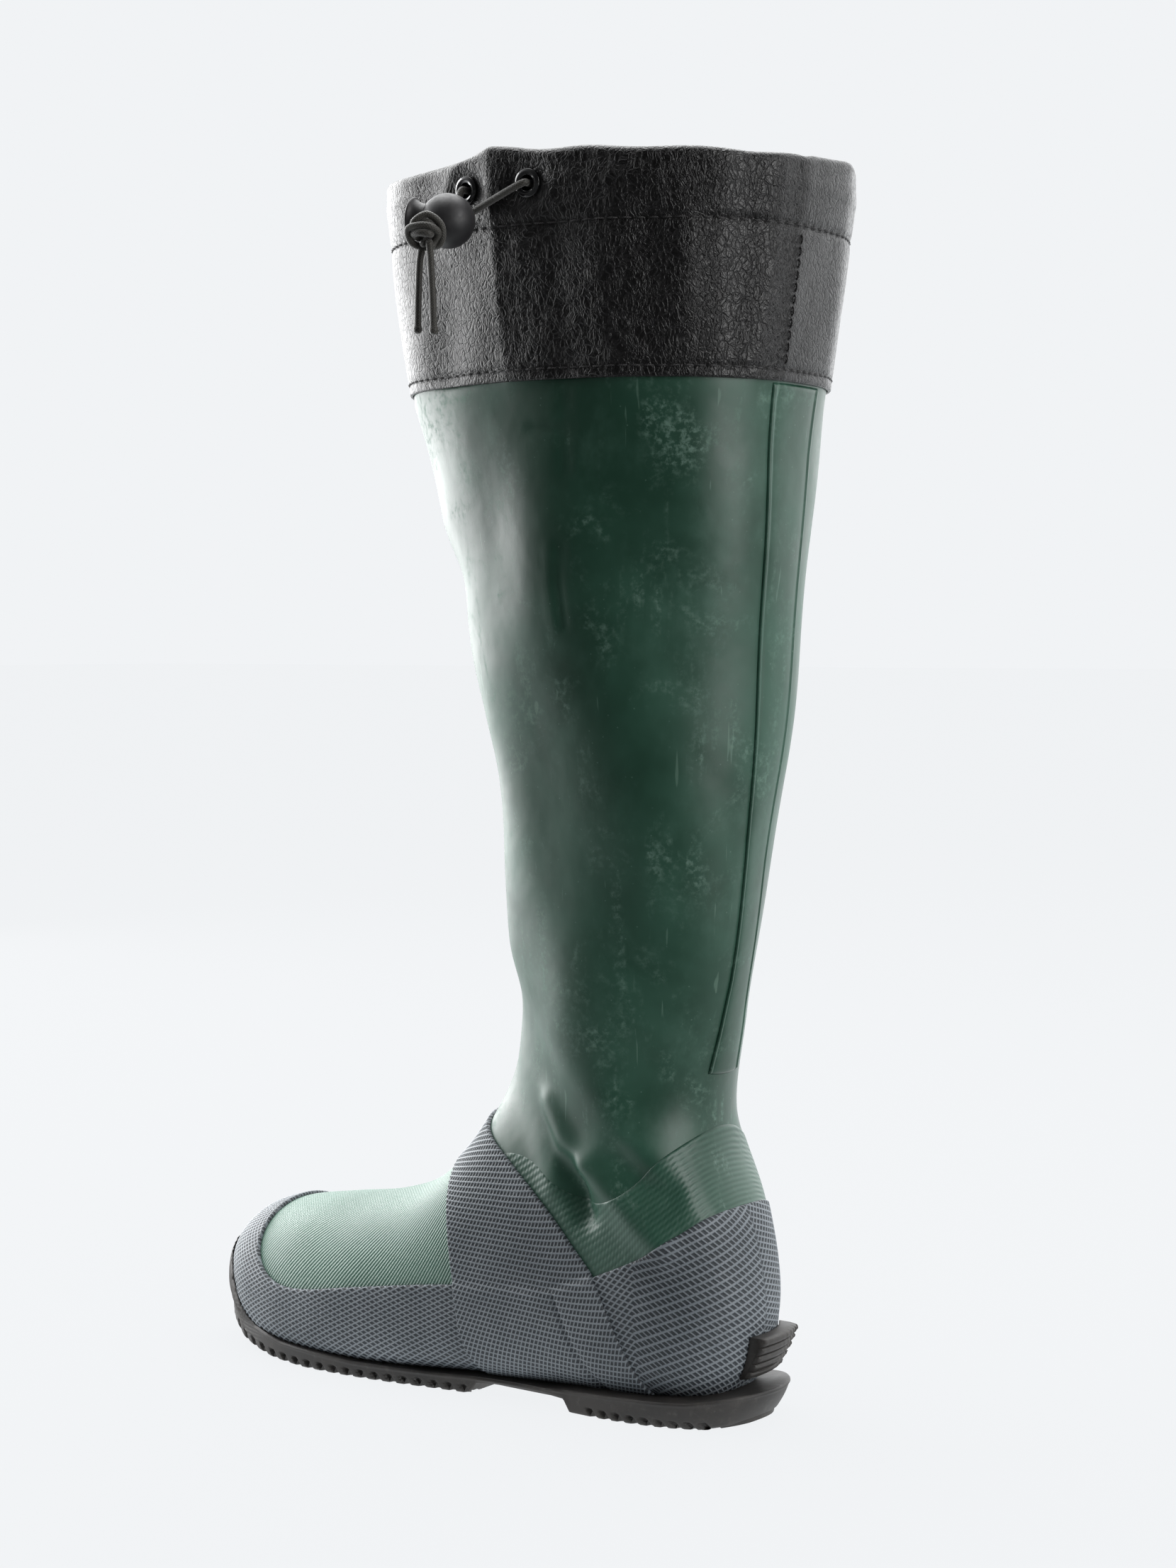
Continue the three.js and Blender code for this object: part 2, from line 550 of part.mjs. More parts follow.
// A straight passage for the two cords, between two levels along the plunger
function cordPassage(low, high, halfWidth) {
  return block([-12, low, -halfWidth], [12, high, halfWidth]);
}
function lockBody() {
  const radius = LOCK_BORE / 2;
  const mouth = Math.sqrt(LOCK_RADIUS ** 2 - (radius + 0.5) ** 2);
  const start = -Math.PI / 2;
  const finish = Math.asin(mouth / LOCK_RADIUS);
  const arc = Array.from({ length: 13 }, (_, k) => {
    const angle = start + ((finish - start) * k) / 12;
    return [Math.max(LOCK_RADIUS * Math.cos(angle), 0), LOCK_RADIUS * Math.sin(angle)];
  });
  arc[0][0] = 0;
  const shell = toSolid(latheY([
    ...arc, [radius, mouth - 0.5], [radius, LOCK_BORE_FLOOR], [0, LOCK_BORE_FLOOR],
  ]));
  return shell.subtract(cordPassage(CORD_HOLE_LEVEL - 1.7, CORD_HOLE_LEVEL + 1.7, 3.3));
}
add("cord_lock_body", lockBody(), "plastic", lock);

const SLOT_BOTTOM = CORD_HOLE_LEVEL - CORD_DIAMETER / 2 - GAP;
const SLOT_TOP = CORD_HOLE_LEVEL + CORD_DIAMETER / 2 + GAP + PLUNGER_TRAVEL;
const STEM_BOTTOM = SLOT_BOTTOM - 1.4;
const HEAD_BOTTOM = 10.8;
function plunger() {
  const stem = PLUNGER_DIAMETER / 2;
  const head = PLUNGER_HEAD / 2;
  const body = toSolid(latheY([
    [0, STEM_BOTTOM], [stem, STEM_BOTTOM], [stem, HEAD_BOTTOM], [head, HEAD_BOTTOM], [head, HEAD_BOTTOM + 3],
    [head - 1, HEAD_BOTTOM + 4], [head - 2, HEAD_BOTTOM + 3.8], [head - 3, HEAD_BOTTOM + 2.8],
    [0, HEAD_BOTTOM + 2.4],
  ]));
  return body.subtract(cordPassage(SLOT_BOTTOM, SLOT_TOP, 3.1));
}
add("cord_lock_plunger", plunger(), "plastic", lock);

const SPRING = { diameter: 5.2, wire: 0.6, turns: 4 };
class Helix extends THREE.Curve {
  getPoint(t) {
    const angle = 2 * Math.PI * SPRING.turns * t;
    const low = LOCK_BORE_FLOOR + SPRING.wire / 2 + GAP;
    const high = STEM_BOTTOM - SPRING.wire / 2 - GAP;
    const radius = SPRING.diameter / 2;
    return new THREE.Vector3(radius * Math.cos(angle), low + (high - low) * t, radius * Math.sin(angle));
  }
}
add("cord_lock_spring", alongPath(new Helix(), rod(SPRING.wire, 5), 10 * SPRING.turns), "spring", lock);

// The two cords pass side by side through the lock, from its inner face to the knot
const STRAND_INNER = -LOCK_RADIUS;
const STRAND_OUTER = KNOT_CENTRE - 4.6;
EYELETS.forEach((eyelet, k) => {
  const side = k === 0 ? -1 : 1;
  const z = side * CORD_SPACING;
  const level = CORD_HOLE_LEVEL;
  const strand = [STRAND_INNER, 0, STRAND_OUTER].map((x) => lockPoint(x, level, z));
  add(`drawcord_strand_${eyelet.name}`, tube(strand, CORD_DIAMETER, 4), "cord");
  const out = (distance) => eyelet.centre.clone().addScaledVector(eyelet.normal, distance);
  const lead = [
    out(-3.4), out(0), out(2.6), lockPoint(STRAND_INNER - 3.2, level, z),
    lockPoint(STRAND_INNER - GAP, level, z),
  ];
  add(`drawcord_lead_${eyelet.name}`, tube(lead, CORD_DIAMETER, 14), "cord");
});

// The knot, and the two loose ends below it
const knotCentre = lockPoint(KNOT_CENTRE, CORD_HOLE_LEVEL, 0);
const knot = new THREE.SphereGeometry(1, 14, 10);
knot.scale(4.3, 6.4, 5.9).applyMatrix4(lockBasis).translate(...knotCentre.toArray());
add("drawcord_knot", knot, "cord");
const TAILS = {
  front: [[102.6, -33.5, 431.2], [102.7, -34.6, 426], [102.9, -35.2, 414], [103.1, -35.4, 400.6]],
  rear: [[104.2, -29.2, 431.2], [104.5, -28.4, 426], [104.5, -27.6, 414], [104.2, -27.2, 399.6]],
};
for (const [name, route] of Object.entries(TAILS)) {
  const points = route.map((place) => new THREE.Vector3(...place));
  add(`drawcord_tail_${name}`, tube(points, CORD_DIAMETER, 8), "cord");
}

export default model;
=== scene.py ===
import json
import math

import bmesh
import bpy
import numpy as np
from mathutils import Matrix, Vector
from mathutils.bvhtree import BVHTree


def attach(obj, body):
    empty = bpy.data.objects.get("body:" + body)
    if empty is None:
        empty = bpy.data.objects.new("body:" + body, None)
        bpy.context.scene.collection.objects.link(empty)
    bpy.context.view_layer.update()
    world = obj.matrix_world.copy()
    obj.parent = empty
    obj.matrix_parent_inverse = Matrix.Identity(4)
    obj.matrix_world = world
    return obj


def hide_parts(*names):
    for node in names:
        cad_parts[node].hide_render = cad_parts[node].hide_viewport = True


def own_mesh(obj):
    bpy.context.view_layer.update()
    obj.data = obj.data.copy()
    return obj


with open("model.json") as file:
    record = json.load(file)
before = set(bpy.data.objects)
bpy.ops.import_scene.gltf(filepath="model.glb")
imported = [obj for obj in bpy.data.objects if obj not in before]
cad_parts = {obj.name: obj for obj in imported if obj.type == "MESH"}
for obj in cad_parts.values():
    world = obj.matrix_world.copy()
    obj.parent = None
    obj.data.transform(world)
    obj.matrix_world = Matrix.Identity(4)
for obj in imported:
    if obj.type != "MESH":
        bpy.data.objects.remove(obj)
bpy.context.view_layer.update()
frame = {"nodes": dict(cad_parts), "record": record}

# Lengths are in millimetres until a mesh is made. +Z is up, the toe points to -Y and the outer
# side of the left foot faces +X, as in the CAD frame.
MM = 0.001
JOINTS = {joint["name"]: joint for joint in frame["record"]["behaviour"]["joints"]}

# ---- Driving dimensions, as in the CAD model ----
BOOT_TOP = 464
RUBBER_TOP = 399
CUFF_BOTTOM = 385
TUNNEL_STITCH = 440
HEM_STITCH = 389
RUBBER_IN = -1.6
CORD_DIAMETER = 2.6
LOCK_CENTRE = np.array([89, -33, 440.9])
LOCK_RADIUS = 9.75
CORD_HOLE_LEVEL = 2.2


# ---- Camera, light and floor, in metres ----
CAMERA_LENS = 62.66
CAMERA_PLACE = (0.85404, 0.58319, 0.290)
CAMERA_FORWARD = (-0.8086, -0.5861, -0.0508)
TOWARDS_CAMERA = (0.81, 0.586, 0)
BOOT_MIDDLE = (0, -0.03, 0.22)
BACKDROP = (0.879, 0.896, 0.914, 1)
# Name, place, size and power
SOFTBOXES = [
    ("softbox_left", (-0.1, -1.6, 0.4), (1.7, 2.0), 50),
    ("softbox_right", (0.05, 1.6, 0.55), (0.8, 1.7), 24),
    ("softbox_top", (-0.3, -0.4, 1.7), (1.4, 1.4), 24),
]
STUDIO_STRENGTH = 2.4
# The studio's brightness, from behind the boot to in front of it
STUDIO_LEVELS = [
    (0.0, 1.0), (0.25, 0.9), (0.4, 0.58), (0.54, 0.28), (0.68, 0.09), (0.82, 0.03), (1.0, 0.02),
]
FLOOR_HALF = 30


def add_object(name, data):
    made = bpy.data.objects.new(name, data)
    bpy.context.collection.objects.link(made)
    return made


def make_camera():
    camera = add_object("camera", bpy.data.cameras.new("camera"))
    camera.data.lens = CAMERA_LENS
    camera.location = CAMERA_PLACE
    camera.rotation_euler = Vector(CAMERA_FORWARD).to_track_quat("-Z", "Y").to_euler()
    bpy.context.scene.camera = camera
    bpy.context.scene.view_settings.view_transform = "Standard"


def along_view(nodes, links, coordinate):
    """How far a place or a direction lies towards the camera's side."""
    source = nodes.new("ShaderNodeTexCoord")
    dot = nodes.new("ShaderNodeVectorMath")
    dot.operation = "DOT_PRODUCT"
    dot.inputs[1].default_value = TOWARDS_CAMERA
    links.new(source.outputs[coordinate], dot.inputs[0])
    return dot.outputs["Value"]


def light_and_look(nodes, links, light, look, output):
    """One shader lights the boot and another is what the camera sees."""
    seen = nodes.new("ShaderNodeLightPath")
    choose = nodes.new("ShaderNodeMixShader")
    links.new(seen.outputs["Is Camera Ray"], choose.inputs[0])
    links.new(light.outputs[0], choose.inputs[1])
    links.new(look.outputs[0], choose.inputs[2])
    links.new(choose.outputs[0], output.inputs["Surface"])


def make_light():
    for name, place, size, power in SOFTBOXES:
        lamp = bpy.data.lights.new(name, "AREA")
        lamp.shape = "RECTANGLE"
        lamp.size, lamp.size_y = size
        lamp.energy = power
        softbox = add_object(name, lamp)
        softbox.location = place
        aim = Vector(BOOT_MIDDLE) - Vector(place)
        softbox.rotation_euler = aim.to_track_quat("-Z", "Y").to_euler()

    world = bpy.data.worlds.new("studio")
    bpy.context.scene.world = world
    world.use_nodes = True
    nodes, links = world.node_tree.nodes, world.node_tree.links
    nodes.clear()
    spread = nodes.new("ShaderNodeMapRange")
    spread.inputs["From Min"].default_value = -1
    links.new(along_view(nodes, links, "Generated"), spread.inputs["Value"])
    ramp = nodes.new("ShaderNodeValToRGB")
    links.new(spread.outputs["Result"], ramp.inputs["Fac"])
    while len(ramp.color_ramp.elements) < len(STUDIO_LEVELS):
        ramp.color_ramp.elements.new(0.5)
    for element, (place, level) in zip(ramp.color_ramp.elements, STUDIO_LEVELS):
        element.position = place
        element.color = (level * 0.975, level * 0.99, level, 1)
    studio = nodes.new("ShaderNodeBackground")
    studio.inputs["Strength"].default_value = STUDIO_STRENGTH
    links.new(ramp.outputs["Color"], studio.inputs["Color"])
    backdrop = nodes.new("ShaderNodeBackground")
    backdrop.inputs["Color"].default_value = BACKDROP
    light_and_look(nodes, links, studio, backdrop, nodes.new("ShaderNodeOutputWorld"))


def make_floor():
    size = FLOOR_HALF
    mesh = bpy.data.meshes.new("floor")
    mesh.from_pydata([(-size, -size, 0), (size, -size, 0), (size, size, 0), (-size, size, 0)],
                     [], [(0, 1, 2, 3)])
    floor = add_object("floor", mesh)
    material = bpy.data.materials.new("floor")
    material.use_nodes = True
    nodes, links = material.node_tree.nodes, material.node_tree.links
    white = nodes["Principled BSDF"]
    for name, value in (("Base Color", (0.02, 0.02, 0.02, 1)), ("Roughness", 0.9),
                        ("Specular IOR Level", 0), ("Emission Color", BACKDROP),
                        ("Emission Strength", 0.965)):
        white.inputs[name].default_value = value
    # The floor is lit from behind the boot, so its own light comes mostly from there
    bounce = nodes.new("ShaderNodeEmission")
    bounce.inputs["Color"].default_value = (0.95, 0.98, 1, 1)
    fade = nodes.new("ShaderNodeMapRange")
    for name, value in (("From Min", -0.15), ("From Max", 0.3), ("To Min", 1.5), ("To Max", 0.12)):
        fade.inputs[name].default_value = value
    links.new(along_view(nodes, links, "Object"), fade.inputs["Value"])
    links.new(fade.outputs["Result"], bounce.inputs["Strength"])
    light_and_look(nodes, links, bounce, white, nodes["Material Output"])
    mesh.materials.append(material)


# ---- Materials ----
class Material:
    """A procedural material; its methods add one node each and give back that node's output."""

    def __init__(self, name, roughness=0.5, metallic=0.0, specular=0.5):
        self.material = bpy.data.materials.new(name)
        self.material.use_nodes = True
        self.nodes = self.material.node_tree.nodes
        self.links = self.material.node_tree.links
        self.shader = self.nodes["Principled BSDF"]
        self.shader.inputs["Roughness"].default_value = roughness
        self.shader.inputs["Metallic"].default_value = metallic
        self.shader.inputs["Specular IOR Level"].default_value = specular
        self.place = self.nodes.new("ShaderNodeTexCoord").outputs["Object"]

    def feed(self, socket, value):
        if isinstance(value, bpy.types.NodeSocket):
            self.links.new(value, socket)
        elif isinstance(value, tuple) and len(value) == 3 and socket.type == "RGBA":
            socket.default_value = (*value, 1)
        else:
            socket.default_value = value

    def set(self, name, value):
        self.feed(self.shader.inputs[name], value)

    def stretch(self, scale, turn=(0, 0, 0)):
        node = self.nodes.new("ShaderNodeMapping")
        self.feed(node.inputs["Vector"], self.place)
        node.inputs["Scale"].default_value = scale
        node.inputs["Rotation"].default_value = turn
        return node.outputs["Vector"]

    def noise(self, scale, detail=3, vector=None, roughness=0.5, distortion=0.0):
        node = self.nodes.new("ShaderNodeTexNoise")
        self.feed(node.inputs["Vector"], vector or self.place)
        node.inputs["Scale"].default_value = scale
        node.inputs["Detail"].default_value = detail
        node.inputs["Roughness"].default_value = roughness
        node.inputs["Distortion"].default_value = distortion
        return node.outputs["Fac"]

    def cells(self, scale, vector=None, feature="F1"):
        node = self.nodes.new("ShaderNodeTexVoronoi")
        node.feature = feature
        self.feed(node.inputs["Vector"], vector or self.place)
        node.inputs["Scale"].default_value = scale
        return node.outputs["Distance"]

    def math(self, operation, a, b=0.0):
        node = self.nodes.new("ShaderNodeMath")
        node.operation = operation
        self.feed(node.inputs[0], a)
        self.feed(node.inputs[1], b)
        return node.outputs[0]

    def times(self, a, b):
        return self.math("MULTIPLY", a, b)

    def plus(self, a, b):
        return self.math("ADD", a, b)

    def range(self, value, low, high, to_low=0.0, to_high=1.0):
        node = self.nodes.new("ShaderNodeMapRange")
        node.interpolation_type = "SMOOTHSTEP"
        for name, number in zip(("Value", "From Min", "From Max", "To Min", "To Max"),
                                (value, low, high, to_low, to_high)):
            self.feed(node.inputs[name], number)
        return node.outputs["Result"]

    def mix(self, factor, a, b):
        node = self.nodes.new("ShaderNodeMix")
        node.data_type = "RGBA"
        self.feed(node.inputs["Factor"], factor)
        self.feed(node.inputs[6], a)
        self.feed(node.inputs[7], b)
        return node.outputs[2]

    def tone(self, value, low, high, dark, pale):
        """From a dark to a pale colour as a value goes from low to high."""
        return self.mix(self.range(value, low, high), dark, pale)

    def uv(self):
        node = self.nodes.new("ShaderNodeUVMap")
        node.uv_map = "pattern"
        return node.outputs["UV"]

    def split(self, vector):
        node = self.nodes.new("ShaderNodeSeparateXYZ")
        self.feed(node.inputs[0], vector)
        return node.outputs[0], node.outputs[1], node.outputs[2]

    def bump(self, height, distance, strength=1.0, under=None):
        node = self.nodes.new("ShaderNodeBump")
        self.feed(node.inputs["Height"], height)
        node.inputs["Distance"].default_value = distance * MM
        node.inputs["Strength"].default_value = strength
        if under:
            self.feed(node.inputs["Normal"], under)
        return node.outputs["Normal"]

    def wave(self, phase):
        """A cosine from 0 to 1, with one crest at each whole number of the phase."""
        turned = self.times(phase, 2 * math.pi)
        return self.times(self.plus(self.math("COSINE", turned), 1.0), 0.5)


def bloom(m, colour, pale, amount, scale=1.0):
    """The pale bloom and rub marks that old rubber gathers, over its own colour."""
    cloud = m.noise(38 * scale, 6, roughness=0.62, distortion=0.4)
    cloud = m.range(cloud, 0.5, 0.72)
    streak = m.noise(30 * scale, 5, m.stretch((3.2, 3.2, 0.5)), roughness=0.6)
    streak = m.range(streak, 0.53, 0.75)
    speck = m.noise(420 * scale, 3, roughness=0.7)
    speck = m.range(speck, 0.42, 0.7)
    mask = m.times(m.math("MAXIMUM", cloud, streak), speck)
    return m.mix(m.times(mask, amount), colour, pale), mask


def green_rubber():
    m = Material("green_rubber", specular=0.5)
    broad = m.noise(13, 4, roughness=0.6, distortion=0.3)
    base = m.tone(broad, 0.32, 0.68, (0.009, 0.045, 0.026), (0.027, 0.092, 0.06))
    colour, mask = bloom(m, base, (0.17, 0.29, 0.23), 0.62)
    haze = m.range(m.noise(34, 5, m.stretch((1, 1, 0.7)), roughness=0.65), 0.48, 0.8)
    colour = m.mix(m.times(haze, 0.45), colour, (0.07, 0.155, 0.115))
    scratch = m.noise(55, 2, m.stretch((6, 6, 0.35), turn=(0.25, 0.1, 0)), distortion=0.3)
    scratch = m.range(scratch, 0.70, 0.74)
    colour = m.mix(m.times(scratch, 0.3), colour, (0.16, 0.27, 0.21))
    pits = m.range(m.cells(210), 0.0, 0.09, 1.0, 0.0)
    colour = m.mix(m.times(pits, 0.35), colour, (0.2, 0.32, 0.26))
    m.set("Base Color", colour)
    m.set("Roughness", m.plus(m.times(mask, 0.25), m.range(broad, 0.3, 0.7, 0.36, 0.48)))
    soft = m.bump(m.noise(26, 3), 2.0, 0.55)
    m.set("Normal", m.bump(m.noise(650, 4, roughness=0.6), 0.06, 0.35, soft))
    return m.material


def green_ribbed(name, pitch, turn, base_dark, base_pale, depth):
    """Green rubber with fine raised ribs whose crests are painted paler, a painted highlight; turn is the
    ribs' slope, as ribs a millimetre along and up.
    """
    m = Material(name, specular=0.5)
    along, up, _ = m.split(m.uv())
    phase = m.plus(m.times(along, turn[0] / pitch), m.times(up, turn[1] / pitch))
    phase = m.plus(phase, m.times(m.noise(45, 2), 0.5))
    rib = m.wave(phase)
    beads = m.wave(m.times(m.math("SUBTRACT", along, up), 1 / (pitch * 0.9)))
    rib = m.plus(m.times(rib, 0.75), m.times(beads, 0.25))
    broad = m.noise(14, 4, roughness=0.6)
    base = m.tone(broad, 0.3, 0.7, base_dark, base_pale)
    # Painted highlight: the rib crests are mixed towards a pale green, more so the deeper the ribs
    base = m.mix(m.times(rib, depth), base, (0.2, 0.34, 0.27))
    colour, mask = bloom(m, base, (0.3, 0.42, 0.36), 0.3, 1.6)
    m.set("Base Color", colour)
    m.set("Roughness", m.plus(m.times(mask, 0.2), 0.4))
    m.set("Normal", m.bump(rib, 0.12 + 0.4 * depth, 0.8, m.bump(m.noise(60, 3), 0.4, 0.4)))
    return m.material


def grey_rubber():
    m = Material("grey_rubber", specular=0.45)
    along, up, _ = m.split(m.uv())
    ridge = m.math("MAXIMUM", m.wave(m.plus(along, up)), m.wave(m.math("SUBTRACT", along, up)))
    crest = m.range(ridge, 0.62, 0.97)
    broad = m.noise(24, 4, roughness=0.6)
    # Painted shade and painted highlight: the mesh's pits are painted dark and its ridge crests pale, each
    # over a random tone
    pit_painted_shade = m.tone(broad, 0.3, 0.7, (0.02, 0.025, 0.03), (0.036, 0.043, 0.051))
    top = m.tone(broad, 0.3, 0.7, (0.14, 0.163, 0.183), (0.215, 0.24, 0.262))
    colour = m.mix(crest, pit_painted_shade, top)
    dust = m.range(m.noise(330, 4, roughness=0.7), 0.55, 0.8)
    colour = m.mix(m.times(dust, 0.3), colour, (0.27, 0.3, 0.32))
    m.set("Base Color", colour)
    m.set("Roughness", m.range(crest, 0, 1, 0.62, 0.46))
    grain = m.bump(m.noise(1500, 3), 0.04, 0.4)
    m.set("Normal", m.bump(crest, 0.14, 0.7, grain))
    return m.material


def black_rubber():
    m = Material("black_rubber", specular=0.45)
    broad = m.noise(40, 5, roughness=0.6)
    base = m.tone(broad, 0.35, 0.7, (0.016, 0.0145, 0.0135), (0.04, 0.036, 0.033))
    dust = m.range(m.noise(260, 5, roughness=0.75), 0.5, 0.8)
    m.set("Base Color", m.mix(m.times(dust, 0.35), base, (0.12, 0.11, 0.1)))
    m.set("Roughness", m.range(broad, 0.3, 0.7, 0.42, 0.62))
    m.set("Normal", m.bump(m.noise(900, 4, roughness=0.6), 0.07, 0.5))
    return m.material


def cuff_leather():
    m = Material("cuff_leather", specular=0.34)
    warp = m.nodes.new("ShaderNodeMix")
    warp.data_type = "VECTOR"
    warp.inputs["Factor"].default_value = 0.006
    m.feed(warp.inputs[4], m.stretch((1, 1, 0.62)))
    swirl = m.nodes.new("ShaderNodeTexNoise")
    swirl.inputs["Scale"].default_value = 160
    m.feed(swirl.inputs["Vector"], m.place)
    m.feed(warp.inputs[5], swirl.outputs["Color"])
    vector = warp.outputs[1]
    pebble = m.range(m.cells(440, vector, "DISTANCE_TO_EDGE"), 0.0, 0.15)
    fine = m.range(m.cells(1100, vector, "DISTANCE_TO_EDGE"), 0.0, 0.16)
    grain = m.plus(m.times(pebble, 0.72), m.times(fine, 0.28))
    broad = m.noise(18, 3)
    base = m.tone(broad, 0.3, 0.7, (0.008, 0.0075, 0.008), (0.015, 0.0142, 0.0147))
    # Painted reflection: the pebble tops are painted darker and the lines between them paler, as the sloped
    # pebble edges catching the softbox; the broad tone is random
    m.set("Base Color", m.mix(grain, base, (0.004, 0.0037, 0.0038)))
    m.set("Roughness", m.range(grain, 0, 1, 0.44, 0.28))
    folds = m.bump(m.noise(60, 3, m.stretch((1, 1, 0.6)), roughness=0.5), 0.5, 0.25)
    m.set("Normal", m.bump(grain, 0.26, 0.8, folds))
    return m.material


def braided_cord():
    """Elastic cord: the pattern's first number runs round it, once for each turn, the second along it."""
    m = Material("cord", specular=0.4)
    around, along, _ = m.split(m.uv())
    strands = m.times(around, 8.0)
    one = m.wave(m.plus(strands, m.times(along, 1.1)))
    two = m.wave(m.math("SUBTRACT", strands, m.times(along, 1.1)))
    weave = m.math("MAXIMUM", one, two)
    # Painted shade: the grooves between the braid's strands are painted darker and the strand crests paler
    m.set("Base Color", m.mix(weave, (0.009, 0.0085, 0.007), (0.042, 0.039, 0.032)))
    m.set("Roughness", 0.5)
    m.set("Sheen Weight", 0.3)
    m.set("Normal", m.bump(weave, 0.12, 0.8))
    return m.material


def thread():
    m = Material("thread", roughness=0.6)
    around, along, _ = m.split(m.uv())
    twist = m.wave(m.plus(m.times(around, 2.0), m.times(along, 1.4)))
    # Painted shade: the hollows of the thread's twist are painted darker and its crests paler
    m.set("Base Color", m.mix(twist, (0.006, 0.006, 0.006), (0.03, 0.028, 0.029)))
    m.set("Normal", m.bump(twist, 0.08, 0.8))
    return m.material


def lock_plastic():
    m = Material("lock_plastic", specular=0.45)
    broad = m.noise(90, 4)
    m.set("Base Color", m.tone(broad, 0.3, 0.7, (0.016, 0.0155, 0.017), (0.028, 0.027, 0.0285)))
    m.set("Roughness", m.range(m.noise(500, 3), 0.3, 0.7, 0.42, 0.55))
    m.set("Normal", m.bump(m.noise(1900, 3), 0.03, 0.5))
    return m.material


def metal(name, colour, roughness, scale):
    m = Material(name, metallic=1.0)
    broad = m.noise(scale, 4)
    pale = tuple(min(1, 1.3 * c) for c in colour)
    m.set("Base Color", m.tone(broad, 0.35, 0.65, colour, pale))
    m.set("Roughness", m.range(broad, 0.3, 0.7, roughness, roughness + 0.1))
    return m.material


def eyelet_paint():
    m = Material("eyelet", specular=0.6)
    broad = m.noise(300, 3)
    m.set("Base Color", m.tone(broad, 0.4, 0.6, (0.006, 0.006, 0.007), (0.012, 0.012, 0.013)))
    m.set("Roughness", m.range(broad, 0.3, 0.7, 0.1, 0.2))
    m.set("Coat Weight", 0.6)
    return m.material


def knit(name, colour, pale, pitch):
    """A fine knit or woven cloth, by place, for the inside."""
    m = Material(name, roughness=0.85, specular=0.2)
    x, y, z = m.split(m.place)
    rows = m.wave(m.times(z, 1 / (pitch * MM)))
    columns = m.wave(m.times(m.plus(x, y), 1 / (pitch * MM)))
    weave = m.times(rows, columns)
    # Partly painted shade: the hollows between the loops are painted darker and the loops paler; the added
    # noise is random tone
    m.set("Base Color", m.mix(m.plus(weave, m.times(m.noise(60, 4), 0.3)), colour, pale))
    m.set("Sheen Weight", 0.25)
    m.set("Normal", m.bump(weave, 0.2, 0.6))
    return m.material


def fibre_board():
    m = Material("insole_board", roughness=0.85)
    fibres = m.noise(700, 4, m.stretch((1, 0.3, 1)))
    m.set("Base Color", m.mix(fibres, (0.13, 0.1, 0.07), (0.3, 0.24, 0.17)))
    m.set("Normal", m.bump(fibres, 0.1, 0.5))
    return m.material


MATERIALS = {
    "green_rubber": green_rubber(),
    # The vamp is the leg's green rubber with its base tones painted paler: painted light from above on the
    # foot's upward faces
    "vamp": green_ribbed("vamp_rubber_with_painted_top_light", 1.5, (0.62, 0.78),
                         (0.026, 0.083, 0.056), (0.046, 0.12, 0.085), 0.42),
    "ankle": green_ribbed("ankle_rubber", 2.4, (0.0, 1.0),
                          (0.010, 0.050, 0.030), (0.024, 0.084, 0.054), 0.13),
    "grey_rubber": grey_rubber(),
    "black_rubber": black_rubber(),
    "cuff_leather": cuff_leather(),
    "thread": thread(),
    "cord": braided_cord(),
    "lock_plastic": lock_plastic(),
    "eyelet": eyelet_paint(),
    "lining_fabric": knit("lining_fabric", (0.05, 0.055, 0.052), (0.2, 0.21, 0.205), 0.9),
    "insole_fabric": knit("insole_fabric", (0.02, 0.021, 0.023), (0.07, 0.073, 0.078), 1.1),
    "insole_board": fibre_board(),
    "spring_steel": metal("spring_steel", (0.45, 0.45, 0.46), 0.3, 900),
}


# ---- Making meshes ----
def make_piece(name, points, faces, look, pattern, body="boot", sharp=None):
    """A piece in place of the CAD node of that name, from points in millimetres and a list of faces;
    the pattern places of its points go to the look's texture."""
    mesh = bpy.data.meshes.new(name)
    mesh.from_pydata((np.asarray(points) * MM).tolist(), [], [list(map(int, f)) for f in faces])
    mesh.validate()
    mesh.polygons.foreach_set("use_smooth", [True] * len(mesh.polygons))
    if sharp:
        mesh.set_sharp_from_angle(angle=math.radians(sharp))
    layer = mesh.uv_layers.new(name="pattern")
    corner = np.empty(len(mesh.loops), dtype=np.int32)
    mesh.loops.foreach_get("vertex_index", corner)
    layer.data.foreach_set("uv", pattern[corner].ravel())
    mesh.materials.append(MATERIALS[look])
    piece = add_object(f"{name}_visual", mesh)
    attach(piece, body)
    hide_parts(name)
    return piece


def fix_normals(piece):
    shape = bmesh.new()
    shape.from_mesh(piece.data)
    bmesh.ops.recalc_face_normals(shape, faces=shape.faces)
    shape.to_mesh(piece.data)
    shape.free()


def grid_faces(rows, columns, closed_columns=False, closed_rows=False):
    """Quads of a grid of points, numbered row by row."""
    i = np.arange(rows if closed_rows else rows - 1)[:, None]
    k = np.arange(columns if closed_columns else columns - 1)[None, :]
    i2, k2 = (i + 1) % rows, (k + 1) % columns
    quads = np.stack([i * columns + k, i * columns + k2, i2 * columns + k2, i2 * columns + k], -1)
    return quads.reshape(-1, 4)


def grid_places(columns, rows):
    """Pattern places of a grid: a number for each column and one for each row."""
    return np.stack(np.broadcast_arrays(columns[None, :], rows[:, None]), -1).reshape(-1, 2)


